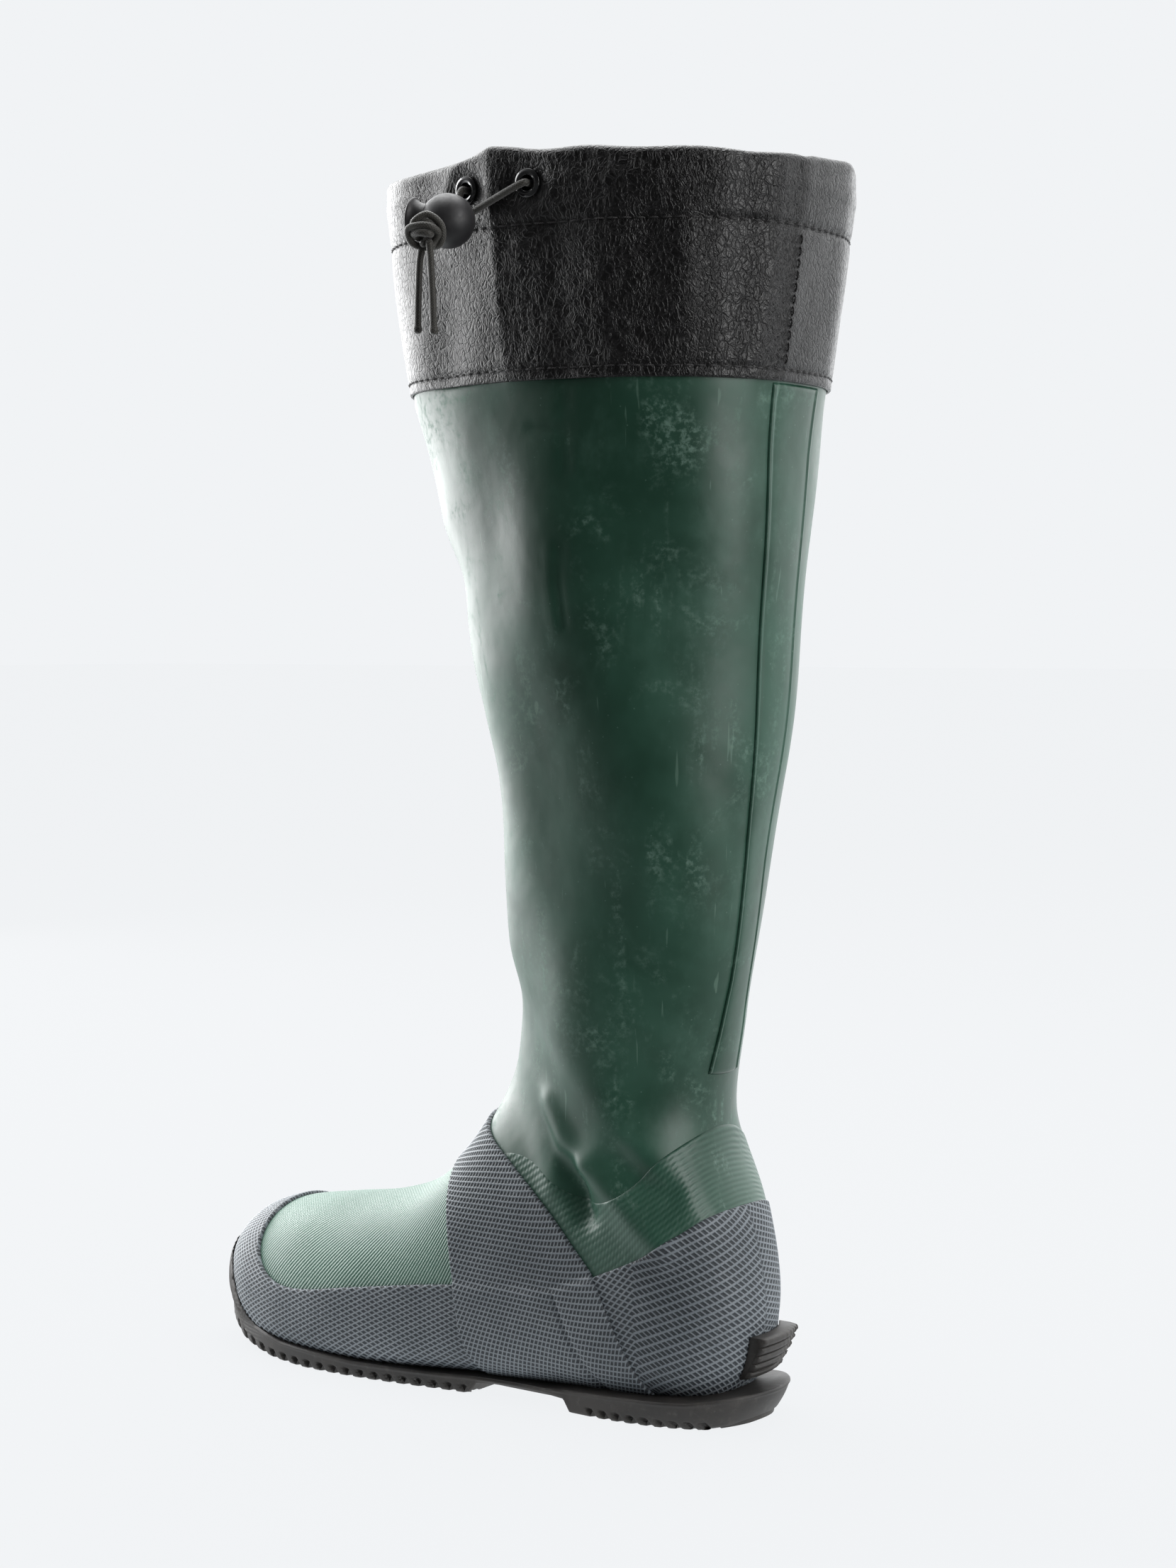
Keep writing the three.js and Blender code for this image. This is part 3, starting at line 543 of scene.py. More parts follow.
def slab(top, bottom, flip=False):
    """Points and faces of a closed slab between two grids of points."""
    rows, columns = top.shape[:2]
    count = rows * columns
    faces = grid_faces(rows, columns)
    rim = ([(0, k) for k in range(columns)] + [(i, columns - 1) for i in range(1, rows)]
           + [(rows - 1, k) for k in range(columns - 2, -1, -1)] + [(i, 0) for i in range(rows - 2, 0, -1)])
    rim = [i * columns + k for i, k in rim]
    walls = np.array([[a, a + count, b + count, b] for a, b in zip(rim, rim[1:] + rim[:1])])
    if flip:
        faces, walls = faces[:, ::-1], walls[:, ::-1]
    points = np.vstack([top.reshape(-1, 3), bottom.reshape(-1, 3)])
    return points, faces.tolist() + (faces[:, ::-1] + count).tolist() + walls.tolist()


def unit(v):
    return v / np.maximum(np.linalg.norm(v, axis=-1, keepdims=True), 1e-12)


def distances(points, axis=0):
    """Distance from the first point, along a path or along an axis of a grid."""
    steps = np.linalg.norm(np.diff(points, axis=axis), axis=-1)
    return np.insert(np.cumsum(steps, axis=axis), 0, 0, axis=axis)


def smooth_path(points, count, closed=False):
    """Evenly spaced points on a centripetal Catmull-Rom curve through the given ones."""
    p = np.asarray(points, float)
    if closed:
        p = np.vstack([p[-1], p, p[:2]])
    else:
        p = np.vstack([2 * p[0] - p[1], p, 2 * p[-1] - p[-2]])
    out = []
    for p0, p1, p2, p3 in zip(p, p[1:], p[2:], p[3:]):
        t0 = 0
        t1 = t0 + max(np.linalg.norm(p1 - p0), 1e-6) ** 0.5
        t2 = t1 + max(np.linalg.norm(p2 - p1), 1e-6) ** 0.5
        t3 = t2 + max(np.linalg.norm(p3 - p2), 1e-6) ** 0.5
        t = np.linspace(t1, t2, 24, endpoint=False)[:, None]
        a1 = (t1 - t) / (t1 - t0) * p0 + (t - t0) / (t1 - t0) * p1
        a2 = (t2 - t) / (t2 - t1) * p1 + (t - t1) / (t2 - t1) * p2
        a3 = (t3 - t) / (t3 - t2) * p2 + (t - t2) / (t3 - t2) * p3
        b1 = (t2 - t) / (t2 - t0) * a1 + (t - t0) / (t2 - t0) * a2
        b2 = (t3 - t) / (t3 - t1) * a2 + (t - t1) / (t3 - t1) * a3
        out.append((t2 - t) / (t2 - t1) * b1 + (t - t1) / (t2 - t1) * b2)
    out = np.vstack(out + [p[-2:-1] if not closed else p[1:2]])
    length = distances(out)
    places = np.linspace(0, length[-1], count + 1 if closed else count)
    even = np.stack([np.interp(places, length, out[:, k]) for k in range(out.shape[1])], 1)
    return even[:-1] if closed else even


def tube(path, radius, sides):
    """Points, quads and pattern of a tube with domed ends; radius may change along it."""
    path = np.asarray(path, float)
    radius = np.broadcast_to(np.asarray(radius, float), len(path)).copy()
    tangent = unit(np.gradient(path, axis=0))
    side = np.zeros_like(path)
    start = np.array([0.13, 0.35, 0.93])
    side[0] = unit(start - tangent[0] * start.dot(tangent[0]))
    for k in range(1, len(path)):
        side[k] = unit(side[k - 1] - tangent[k] * side[k - 1].dot(tangent[k]))
    across = np.cross(tangent, side)
    # Domes: three short rings at each end
    dome = [(0.0, 0.35), (0.45, 0.8), (0.8, 0.96)]
    centres, radii, sides_a, sides_b = [], [], [], []

    def ring(k, shift, scale):
        centres.append(path[k] + tangent[k] * shift * radius[k])
        radii.append(radius[k] * scale)
        sides_a.append(side[k])
        sides_b.append(across[k])

    for out, scale in dome:
        ring(0, -0.5 * (1 - out), scale)
    for k in range(len(path)):
        ring(k, 0, 1)
    for out, scale in dome[::-1]:
        ring(-1, 0.5 * (1 - out), scale)
    angle = np.linspace(0, 2 * np.pi, sides + 1)
    centres, radii = np.array(centres), np.array(radii)
    points = (centres[:, None] + radii[:, None, None] * (
        np.array(sides_a)[:, None] * np.cos(angle)[None, :, None]
        + np.array(sides_b)[:, None] * np.sin(angle)[None, :, None]))
    pattern = grid_places(np.linspace(0, 1, sides + 1), distances(centres))
    rows = len(centres)
    quads = grid_faces(rows, sides + 1)
    caps = [list(range(sides + 1))[::-1], [(rows - 1) * (sides + 1) + k for k in range(sides + 1)]]
    return points.reshape(-1, 3), quads.tolist() + caps, pattern


def join(parts):
    """One set of points, faces and pattern from several."""
    points, faces, pattern = [], [], []
    count = 0
    for part_points, part_faces, part_pattern in parts:
        points.append(part_points)
        pattern.append(part_pattern)
        faces += [[index + count for index in face] for face in part_faces]
        count += len(part_points)
    return np.vstack(points), faces, np.vstack(pattern)


# ---- The boot's surface, as in the CAD model ----
def section(front, back, lateral, medial, widest=0.5, roundness=(2, 2), middle=0):
    return [*front, *back, lateral, medial, widest, *roundness, middle]


SECTIONS = np.array([
    section((-215.5, 26), (-215.5, 26), 0, 0, 0.5, (2, 2), -7),
    section((-212, 40), (-213, 15), 17, 17, 0.55, (2.1, 2.6), -7),
    section((-202, 51), (-203, 10), 28, 27, 0.6, (2.1, 3.2), -6),
    section((-185, 57.5), (-187, 6.5), 38, 35, 0.64, (2.1, 4), -4.5),
    section((-161, 62), (-164, 4.6), 44, 39.5, 0.66, (2.1, 4.5), -3),
    section((-132, 67), (-136, 4.2), 46, 42, 0.68, (2, 4.5), -2),
    section((-106, 76), (-106, 4.4), 43.5, 41, 0.68, (2, 4.2), -1),
    section((-87, 91), (-72, 6), 39.5, 38, 0.66, (2, 3.6)),
    section((-75, 108), (-29, 7.4), 36.5, 36, 0.64, (2, 3.2)),
    section((-67, 126), (29, 9.6), 34.5, 34.5, 0.62, (2, 2.8)),
    section((-63.5, 144), (44, 36), 34.5, 34.5, 0.58, (2, 2.3)),
    section((-62, 160), (40, 70), 35.5, 35.5, 0.55, (2, 2.2)),
    section((-64, 178), (25.5, 108), 38, 38, 0.52, (2, 2.1)),
    section((-65, 198), (32, 150), 41, 41),
    section((-67, 222), (40, 196), 44.5, 44.5),
    section((-70, 252), (46, 245), 51, 51),
    section((-80, 300), (51.5, 300), 59, 59),
    section((-96, 360), (57, 360), 64.5, 64.5, 0.5, (2.1, 2.1)),
    section((-104, 386), (59.5, 386), 66, 66, 0.5, (2.2, 2.2)),
    section((-108.5, 425), (64, 425), 69.5, 69.5, 0.5, (2.3, 2.3)),
    section((-112.5, 470), (69, 470), 72.5, 72.5, 0.5, (2.3, 2.3)),
    section((-114.5, 490), (71.5, 490), 74, 74, 0.5, (2.3, 2.3)),
], float)
LAST = len(SECTIONS) - 1


def sections_at(u):
    """Catmull-Rom blend of the section numbers at places u, in sections from the toe."""
    index = np.clip(np.floor(u).astype(int), 0, LAST - 1)
    w = (u - index)[..., None]
    here, after = SECTIONS[index], SECTIONS[index + 1]
    before = np.where((index > 0)[..., None], SECTIONS[np.maximum(index - 1, 0)], 2 * here - after)
    beyond = np.where((index < LAST - 1)[..., None], SECTIONS[np.minimum(index + 2, LAST)],
                      2 * after - here)
    slope = after - before
    square = 2 * before - 5 * here + 4 * after - beyond
    cube = 3 * here - before - 3 * after + beyond
    return 0.5 * (2 * here + slope * w + square * w ** 2 + cube * w ** 3)


def surface(u, angle):
    """Points on the plain surface; angle 0 is the front or top, a quarter turn the outer side."""
    fy, fz, by, bz, lateral, medial, widest, front_power, back_power, middle = np.moveaxis(
        sections_at(np.asarray(u, float)), -1, 0)
    c, s = np.cos(angle), np.sin(angle)
    power = 2 / np.where(c >= 0, front_power, back_power)
    along = np.abs(c) ** power
    centre_y, centre_z = fy + (by - fy) * widest, fz + (bz - fz) * widest
    end_y, end_z = np.where(c >= 0, fy, by), np.where(c >= 0, fz, bz)
    half = np.where(s >= 0, lateral, medial)
    return np.stack([
        middle + np.sign(s) * half * np.abs(s) ** power,
        centre_y + (end_y - centre_y) * along,
        centre_z + (end_z - centre_z) * along,
    ], -1)


def distance_to_path(points, path):
    """Least distance from each point to a path of straight runs."""
    path = np.asarray(path, float)
    best = np.full(points.shape[:-1], 1e9)
    for a, b in zip(path, path[1:]):
        run = b - a
        t = np.clip(((points - a) @ run) / (run @ run), 0, 1)
        best = np.minimum(best, np.linalg.norm(points - a - t[..., None] * run, axis=-1))
    return best


# Soft dents and swellings of the rubber: centre, reach and height
SWELLS = [
    ((40, -84, 312), (16, 14, 11), -3.2),
    ((42, -76, 336), (16, 16, 12), 1.4),
    ((36, -74, 284), (16, 14, 14), 1.2),
    ((34, -70, 243), (16, 12, 12), -1.8),
    ((30, -66, 205), (16, 12, 16), 0.8),
    ((26, -62, 158), (16, 12, 12), -1.0),
    ((52, -34, 338), (20, 13, 34), -2.0),
    ((60, -6, 345), (22, 17, 40), 1.3),
    ((56, 30, 318), (22, 14, 60), -1.2),
    ((50, 14, 240), (22, 16, 44), 1.0),
    ((44, -22, 222), (20, 12, 40), -1.2),
    ((36, -18, 150), (16, 14, 26), 1.0),
    ((34, 12, 128), (14, 12, 16), -1.0),
    ((-52, -30, 320), (24, 18, 34), -2.2),
    ((-52, 18, 280), (24, 18, 40), -1.6),
    ((-44, -10, 215), (22, 20, 26), 1.4),
    ((-36, -20, 160), (18, 14, 20), -1.4),
    ((0, -90, 330), (26, 16, 20), -2.0),
    ((-8, -72, 262), (26, 14, 16), -1.4),
    ((4, 52, 290), (20, 14, 44), -0.9),
    ((35, -16, 87), (8, 4.5, 8), -2.8),
    ((35, -27, 96), (8, 4, 6), 1.2),
    ((34, -4, 101), (12, 10, 8), 1.0),
    ((-34, -20, 92), (10, 8, 9), -2.0),
    ((-34, -6, 82), (10, 8, 7), 1.4),
]
# Folds: the path, how wide and how high
FOLDS = [
    ([(47, -84, 352), (50, -76, 334), (46, -74, 316)], 7.0, -1.6),
    ([(64, -14, 368.5), (64.5, 0, 367), (63, 15, 369)], 1.5, -0.8),
    ([(64.5, 0, 381), (64.5, 0, 367), (63, -1, 352)], 1.6, -0.9),
    ([(60, -4, 326), (59, -5, 311), (58, -4, 297)], 1.4, -0.9),
    ([(60, -7.5, 326), (59, -8.5, 311), (58, -7.5, 297)], 2.0, 0.4),
    ([(33, -41, 117), (34.5, -32, 104), (35, -24, 91)], 3.2, -3.4),
    ([(33, -33, 117), (34, -24, 105), (35, -16, 96)], 5.4, 2.8),
    ([(33, -46, 108), (34, -38, 97), (35, -31, 85)], 5.0, 1.9),
    ([(35, -21, 95), (35, -19, 86), (35, -13, 77)], 5.2, -4.2),
    ([(35, -10, 94), (35, 1, 85), (34, 11, 76), (31, 20, 68)], 6.5, 3.0),
    ([(35, 4, 100), (34, 14, 92), (31, 23, 88)], 6.0, -2.2),
    ([(36, 10, 112), (34, 20, 108), (30, 28, 110)], 4.0, -1.2),
    ([(-34, -32, 104), (-35, -20, 90), (-35, -8, 80)], 3.0, -1.4),
    ([(-56, -40, 352), (-58, -24, 338), (-58, -10, 331)], 4.0, -1.2),
    ([(-20, -86, 300), (0, -84, 296), (22, -80, 301)], 4.0, -1.1),
]


def dents(points):
    """How far the rubber stands out from the plain surface at each point."""
    height = np.zeros(points.shape[:-1])
    for centre, reach, rise in SWELLS:
        away = (points - np.array(centre)) / np.array(reach)
        height += rise * np.exp(-(away ** 2).sum(-1))
    for path, width, rise in FOLDS:
        height += rise * np.exp(-(distance_to_path(points, path) / width) ** 2)
    # Long slow ripples up the soft leg, fading towards the stiff foot and the sewn cuff
    x, y, z = np.moveaxis(points, -1, 0)
    soft = np.clip((z - 95) / 60, 0, 1) * np.clip((400 - z) / 40, 0, 1)
    turn = np.arctan2(x, y + 20)
    ripple = (0.7 * np.sin(3 * turn + z / 33) + 0.6 * np.sin(5 * turn - z / 24 + 1.3)
              + 0.35 * np.sin(z / 13 + 2 * turn + 0.6))
    height += soft * ripple
    # Where the cuff covers the leg, both take the cuff's folds
    if z.max() > CUFF_BOTTOM - 4:
        height += step_up(z - CUFF_BOTTOM, 4) * cuff_form(points)
    return height


def rows_between(u_low, u_high, step):
    """Places along the boot, so that no row is more than a step from the next."""
    fine = np.linspace(u_low, u_high, 500)
    angle = np.array([0, 0.5, 1]) * np.pi
    points = surface(fine[:, None], angle[None, :])
    length = np.linalg.norm(np.diff(points, axis=0), axis=2).max(1)
    length = np.concatenate([[0], np.cumsum(length)])
    count = int(math.ceil(length[-1] / step)) + 1
    return np.interp(np.linspace(0, length[-1], count), length, fine)


def even_angles(u, centre, half_count):
    """Angles evenly spaced in distance both ways round from a centre angle, for each row."""
    fine = np.linspace(0, np.pi, 241)
    halves = []
    for way in (-1, 1):
        length = distances(surface(u[:, None], centre + way * fine[None, :]), axis=1)
        share = np.linspace(0, 1, half_count + 1)
        halves.append(centre + way * np.array([np.interp(share * row[-1], row, fine) for row in length]))
    return np.hstack([halves[0][:, :0:-1], halves[1]])


def normals_of(points, wrap):
    """Outward unit normals of a grid of surface points."""
    up = np.gradient(points, axis=0)
    if wrap:
        ring = points[:, :-1]
        around = np.roll(ring, -1, axis=1) - np.roll(ring, 1, axis=1)
        around = np.concatenate([around, around[:, :1]], axis=1)
        up[:, -1] = up[:, 0]
    else:
        around = np.gradient(points, axis=1)
    return unit(np.cross(around, up))


class Sheet:
    """A stretch of the boot's surface as points, normals, pattern places and faces."""

    def __init__(self, u_low, u_high, step, centre=0.0, wrap=False):
        u = rows_between(u_low, u_high, step)
        middle_ring = surface(np.full(200, (u_low + u_high) / 2), np.linspace(0, 2 * np.pi, 200))
        half = int(math.ceil(distances(middle_ring)[-1] / step / 2))
        angle = even_angles(u, centre, half)
        plain = surface(u[:, None], angle)
        points = plain + normals_of(plain, wrap) * dents(plain)[..., None]
        normals = normals_of(points, wrap)
        rows, columns = angle.shape
        # Pattern: distance along the boot from the middle row, and round it from the centre angle
        along = distances(plain)
        along = along - along[rows // 2]
        round_it = distances(plain, axis=1)
        round_it = round_it - round_it[:, half:half + 1]
        if wrap:
            points, normals = points[:, :-1], normals[:, :-1]
            along, round_it = along[:, :-1], round_it[:, :-1]
            columns -= 1
        self.points = points.reshape(-1, 3)
        self.normals = normals.reshape(-1, 3)
        self.pattern = np.stack([round_it, along], -1).reshape(-1, 2)
        self.quads = grid_faces(rows, columns, closed_columns=wrap)
        self.outlines = []

    def split(self, level, keep_low):
        """Cuts the faces along a level of the inside distance; the low side is kept or dropped."""
        data = np.hstack([self.points, self.normals, self.pattern, self.inside[:, None]])
        above = self.inside > level
        hits = above[self.quads]
        full, none = hits.all(1), ~hits.any(1)
        mixed = [list(map(int, row)) for row in self.quads[~(full | none)]]
        self.quads = self.quads[full | none] if keep_low else self.quads[full]
        value = self.inside.tolist()
        made, extra, outlines = {}, [], []

        def between(a, b):
            key = (min(a, b), max(a, b))
            if key not in made:
                t = (level - value[key[0]]) / (value[key[1]] - value[key[0]])
                extra.append(data[key[0]] * (1 - t) + data[key[1]] * t)
                extra[-1][-1] = level
                made[key] = len(value) + len(extra) - 1
            return made[key]

        for outline in mixed + self.outlines:
            high, low = [], []
            for k, a in enumerate(outline):
                b = outline[(k + 1) % len(outline)]
                (high if value[a] > level else low).append(a)
                if (value[a] > level) != (value[b] > level):
                    high.append(between(a, b))
                    low.append(between(a, b))
            if len(high) > 2:
                outlines.append(high)
            if keep_low and len(low) > 2:
                outlines.append(low)
        if extra:
            data = np.vstack([data, np.array(extra)])
        self.points, self.normals = data[:, :3], unit(data[:, 3:6])
        self.pattern, self.inside = data[:, 6:8], data[:, 8]
        self.outlines = outlines

    def cut_to(self, inside, rounding):
        """Keeps what lies inside, with extra rows of points where the edge is rounded off."""
        self.inside = inside
        self.split(0.0, False)
        for share in (0.15, 0.5, 1.0):
            self.split(share * rounding, True)

    def tidy(self):
        """Drops the points that no face uses."""
        faces = self.quads.tolist() + self.outlines
        used = np.unique(np.concatenate([np.array(face) for face in self.outlines] + [self.quads.ravel()]))
        place = np.full(len(self.points), -1)
        place[used] = np.arange(len(used))
        self.points, self.normals, self.pattern = self.points[used], self.normals[used], self.pattern[used]
        self.inside = self.inside[used]
        return [[int(place[index]) for index in face] for face in faces]


def side_distance(points, outline):
    """How far inside a closed outline in the side view, [y, z], each point lies; negative outside."""
    y, z = points[:, 1], points[:, 2]
    best = np.full(len(points), 1e9)
    inside = np.zeros(len(points), bool)
    for (ay, az), (by, bz) in zip(outline, np.roll(outline, -1, axis=0)):
        run_y, run_z = by - ay, bz - az
        square = run_y ** 2 + run_z ** 2
        if square < 1e-9:
            continue
        t = np.clip(((y - ay) * run_y + (z - az) * run_z) / square, 0, 1)
        best = np.minimum(best, (y - ay - t * run_y) ** 2 + (z - az - t * run_z) ** 2)
        if az != bz:
            crosses = (az > z) != (bz > z)
            inside ^= crosses & (y < run_y * (z - az) / run_z + ay)
    best = np.sqrt(best)
    return np.where(inside, best, -best)


def edge_height(inside, rounding):
    """From 0 at a panel's edge to 1 past its rounding."""
    share = np.clip(inside / rounding, 0, 1)
    return np.sqrt(np.clip(1 - (1 - share) ** 2, 0, 1))


def panel(name, sheet, outline, low, high, look, slot, rounding=0.8, relief=None, pattern=None,
          thick=None, backed=True):
    """A rubber panel between two distances from the surface, cut to an outline in the side view."""
    sheet.cut_to(side_distance(sheet.points, np.asarray(outline, float)), rounding)
    faces = sheet.tidy()
    places = pattern(sheet.points, sheet.pattern) if pattern else sheet.pattern
    rise = edge_height(sheet.inside, rounding)
    top = np.full(len(sheet.points), float(high))
    if thick:
        top = top + thick(sheet.points)
    if relief:
        top = top + relief(places)
    outer = sheet.points + sheet.normals * (low + (top - low) * rise)[:, None]
    if not backed:
        return make_piece(name, outer, faces, look, places)
    inner = sheet.points + sheet.normals * (low - 0.02)
    count = len(outer)
    edges = {}
    for face in faces:
        for a, b in zip(face, face[1:] + face[:1]):
            if (b, a) in edges:
                del edges[(b, a)]
            else:
                edges[(a, b)] = True
    walls = [[b, a, a + count, b + count] for a, b in edges]
    backs = [[index + count for index in face[::-1]] for face in faces]
    return make_piece(name, np.vstack([outer, inner]), faces + backs + walls, look,
                      np.vstack([places, places]))


# ---- Panel outlines in the side view, [y, z] ----
def curve(points, count):
    return smooth_path(points, count).tolist()


SOLE_TOP = [
    (56, 14.5), (42, 12.8), (30, 11), (0, 9.4), (-20, 8.4), (-32, 7.3), (-58, 7), (-70, 6.8),
    (-80, 6.4), (-120, 6.2), (-160, 8.2), (-178, 11.5), (-188, 17), (-197, 25), (-204, 32),
    (-211, 39), (-217, 42), (-230, 43),
]
SOLE_UNDERSIDE = [
    (-230, 30), (-218, 20), (-205, 10), (-188, 4), (-165, 0.8), (-148, 0), (-68, 0), (-65, 4.4), (-58, 5),
    (-30, 5), (-24, 4.6), (-21, 0), (34, 0), (44, 1.2), (50, 3), (56, 6),
]
GUARD_TOP = curve([(-26, 46), (-72, 43), (-120, 36), (-146, 31.6), (-158, 31), (-168, 33), (-177, 38.5),
                   (-183, 47), (-186, 60), (-187, 72)], 60)
GUARD_REAR = curve([(-26, 46), (-21, 33), (-13, 16), (-7, 4)], 12)
COUNTER_TOP = curve([(-26, 46.5), (-8, 54), (14, 64.5), (26, 73), (33, 79), (38.8, 82.4)], 30)
BAND_FRONT = curve([(-60, 2), (-68, 24), (-72, 43), (-77, 60), (-84, 78), (-92, 95), (-100, 111)], 40)
BAND_REAR = curve([(-84, 117), (-73, 103.5), (-52, 91), (-32, 77), (-18, 64), (-8, 53.5), (0, 38),
                   (7, 23), (14, 6)], 46)
ANKLE_TOP = curve([(-66, 92), (-52, 95), (-40, 93), (-30, 87.5), (-20, 83), (-8, 82), (4, 86), (14, 96),
                   (24, 108), (30.5, 117), (33.5, 124.5), (34.5, 129)], 60)


# The sole's top edge from the heel to the toe, lowered a little so that panels meet it
sole_edge = [(y, z - 0.6) for y, z in curve(SOLE_TOP, 60)]
GUARD = [p for p in GUARD_REAR[::-1] if p[1] > 6] + GUARD_TOP + [(-240, 72)] + [
    p for p in sole_edge[::-1] if p[0] < -8]
COUNTER = [(-26, 46.5)] + COUNTER_TOP + [(40, 83), (41.2, 87), (80, 87)] + [
    p for p in sole_edge if p[0] > -6] + [(-6, 8), (-20, 34)]
BAND = BAND_FRONT + BAND_REAR + [p for p in sole_edge if -58 < p[0] < 10]
ANKLE = ANKLE_TOP + [(80, 129), (80, 60), (12, 48), (-20, 52), (-45, 80)]
FOOT = [(-22, 4), (-27, 30), (-50, 60), (-76, 94), (-118, 130), (-240, 130), (-240, 0), (-26, 0)]
LEG = [(-30, 36), (-58, 58), (-86, 94), (-128, 127), (-240, 140), (-240, 398.9), (130, 398.9), (130, 60),
       (36, 62), (2, 40)]


# ---- Patterns on the panels ----
TOE_CENTRE, TOE_RADIUS, TOE_OFFSET = -168, 42, 4
HEEL_CENTRE, HEEL_RADIUS = 10, 34
CELL_LENGTH = 4.1
BAND_CELL = (3.1, 2.3)
RIB_RUN, RIB_CLIMB = 0.84, 0.54


def round_the_foot(cell_height, rise=0):
    """Diamonds of a height, by distance round the foot in plan and up over its edge; rise is how
    steeply their rows climb towards the back."""
    def places(points, _):
        x, y, z = points.T
        end = np.clip(y, TOE_CENTRE, HEEL_CENTRE)
        side = x + np.where(y < TOE_CENTRE, TOE_OFFSET, 0)
        toe = np.arctan2(np.clip(TOE_CENTRE - y, 0, None), np.abs(side))
        heel = np.arctan2(np.clip(y - HEEL_CENTRE, 0, None), np.abs(side))
        along = np.sign(side) * (HEEL_CENTRE - end + TOE_RADIUS * toe - HEEL_RADIUS * heel)
        over = np.where(y < -100, np.clip(TOE_RADIUS + 3 - np.hypot(x + TOE_OFFSET, y - end), 0, None), 0)
        up = np.hypot(z, over)
        return np.stack([(along - rise * up) / CELL_LENGTH, (up + rise * np.abs(along)) / cell_height], 1)
    return places


def round_the_instep(points, pattern):
    """The band's mesh lies along and round the foot, and turns up with it over the instep."""
    around, along = pattern.T
    return np.stack([along / BAND_CELL[0], around / BAND_CELL[1]], 1)


def slanting_ribs(points, _):
    """Ribs that rise towards the back, along the heel counter's upper edge."""
    y, z = points.T[1:]
    bent = y + 0.012 * (y + 10) ** 2 * (y > -10)
    return np.stack([RIB_RUN * y + RIB_CLIMB * z, RIB_RUN * z - RIB_CLIMB * bent], 1)


def diamonds(places):
    """Height of the raised mesh; a ridge runs where the two numbers' sum or difference is whole."""
    one = np.cos(2 * np.pi * (places[:, 0] + places[:, 1]))
    two = np.cos(2 * np.pi * (places[:, 0] - places[:, 1]))
    return 0.28 * (0.5 + 0.5 * np.maximum(one, two)) ** 2.5 - 0.11


def step_up(distance, width):
    """A smooth step from 0 to 1 as a distance goes from minus to plus its width."""
    share = np.clip(distance / width * 0.5 + 0.5, 0, 1)
    return share * share * (3 - 2 * share)


# ---- Green rubber ----
def make_rubber():
    panel("leg_shaft", Sheet(7.4, 18.35, 1.7, wrap=True), LEG, RUBBER_IN, 0, "green_rubber",
          "green_rubber", rounding=0.5)
    panel("foot_upper", Sheet(0.05, 9.3, 1.3), FOOT, RUBBER_IN, 0, "vamp", "green_ribbed_rubber",
          rounding=0.5)
    panel("ankle_panel", Sheet(8.0, 13.2, 1.0, centre=math.pi), ANKLE, -0.6, 0.16, "ankle",
          "green_ribbed_rubber", rounding=1.0, pattern=slanting_ribs,
          thick=lambda points: 0.4 * step_up(points[:, 1] - 2, 14))


# ---- Grey rubber, with a raised diamond mesh ----
MESH_STEP = 0.42
PANEL_FACES = (0.1, 1.35)
BAND_FACES = (0.2, 1.5)


def make_grey_panels():
    panel("toe_guard", Sheet(0.3, 9.2, MESH_STEP), GUARD, *PANEL_FACES, "grey_rubber", "grey_rubber",
          relief=diamonds, pattern=round_the_foot(2.05), backed=False)
    panel("heel_counter", Sheet(7.9, 12.1, MESH_STEP, centre=math.pi), COUNTER, *PANEL_FACES,
          "grey_rubber", "grey_rubber", relief=diamonds, pattern=round_the_foot(2.6, 0.3), backed=False)
    guard, counter = np.array(GUARD), np.array(COUNTER)

    def over_the_edges(points):
        """The band follows what it covers: the guard's and the counter's edges show through."""
        covered = np.maximum(side_distance(points, guard), side_distance(points, counter))
        return 1.0 * step_up(covered, 2.0)

    panel("instep_band", Sheet(5.6, 10.4, MESH_STEP), BAND, *BAND_FACES, "grey_rubber", "grey_rubber",
          relief=diamonds, pattern=round_the_instep, thick=over_the_edges, backed=False)


# ---- Back stay ----
def at_height(z):
    """The place along the boot where the back of the leg has each height."""
    fine = np.linspace(9.5, LAST, 4000)
    return np.interp(z, sections_at(fine)[:, 3], fine)


STAY_BOTTOM, STAY_TOP = 129.3, 384.4


def make_back_stay():
    heights = np.linspace(STAY_BOTTOM, STAY_TOP, 230)
    half = np.interp(heights, *np.transpose([(129, 9), (165, 7), (210, 7.5), (310, 12), (385, 15.5)]))
    profile = [(1, 0.02), (0.99, 0.5), (0.965, 0.85), (0.93, 0.95), (0.89, 0.9), (0.86, 0.62), (0.83, 0.5),
               (0.79, 0.62), (0.72, 0.72), (0.55, 0.78), (0.35, 0.8), (0.15, 0.8)]
    share = np.array([s for s, _ in profile] + [-s for s, _ in profile[::-1]])
    rise = np.array([h for _, h in profile] + [h for _, h in profile[::-1]])
    u = at_height(heights)[:, None] * np.ones(len(share))
    numbers = sections_at(u)
    x = half[:, None] * share[None, :]
    width = np.where(x >= 0, numbers[..., 4], numbers[..., 5])
    turn = np.arcsin(np.clip(np.abs(x) / width, 0, 1) ** (numbers[..., 8] / 2))
    plain = surface(u, np.pi - np.sign(x) * turn)
    points = plain + normals_of(plain, False) * dents(plain)[..., None]
    normals = normals_of(points, False)
    end = edge_height(np.minimum(heights - STAY_BOTTOM, STAY_TOP - heights), 1.2)[:, None]
    strip, faces = slab(points + normals * (0.02 + rise * end)[..., None], points - normals * 0.2)
    pattern = np.stack([x, heights[:, None] + 0 * x], -1).reshape(-1, 2)
    make_piece("back_stay", strip, faces, "green_rubber", pattern=np.vstack([pattern, pattern]))


# ---- Lining and insole ----
LINING_OUTER, LINING_INNER = 1.95, 2.9
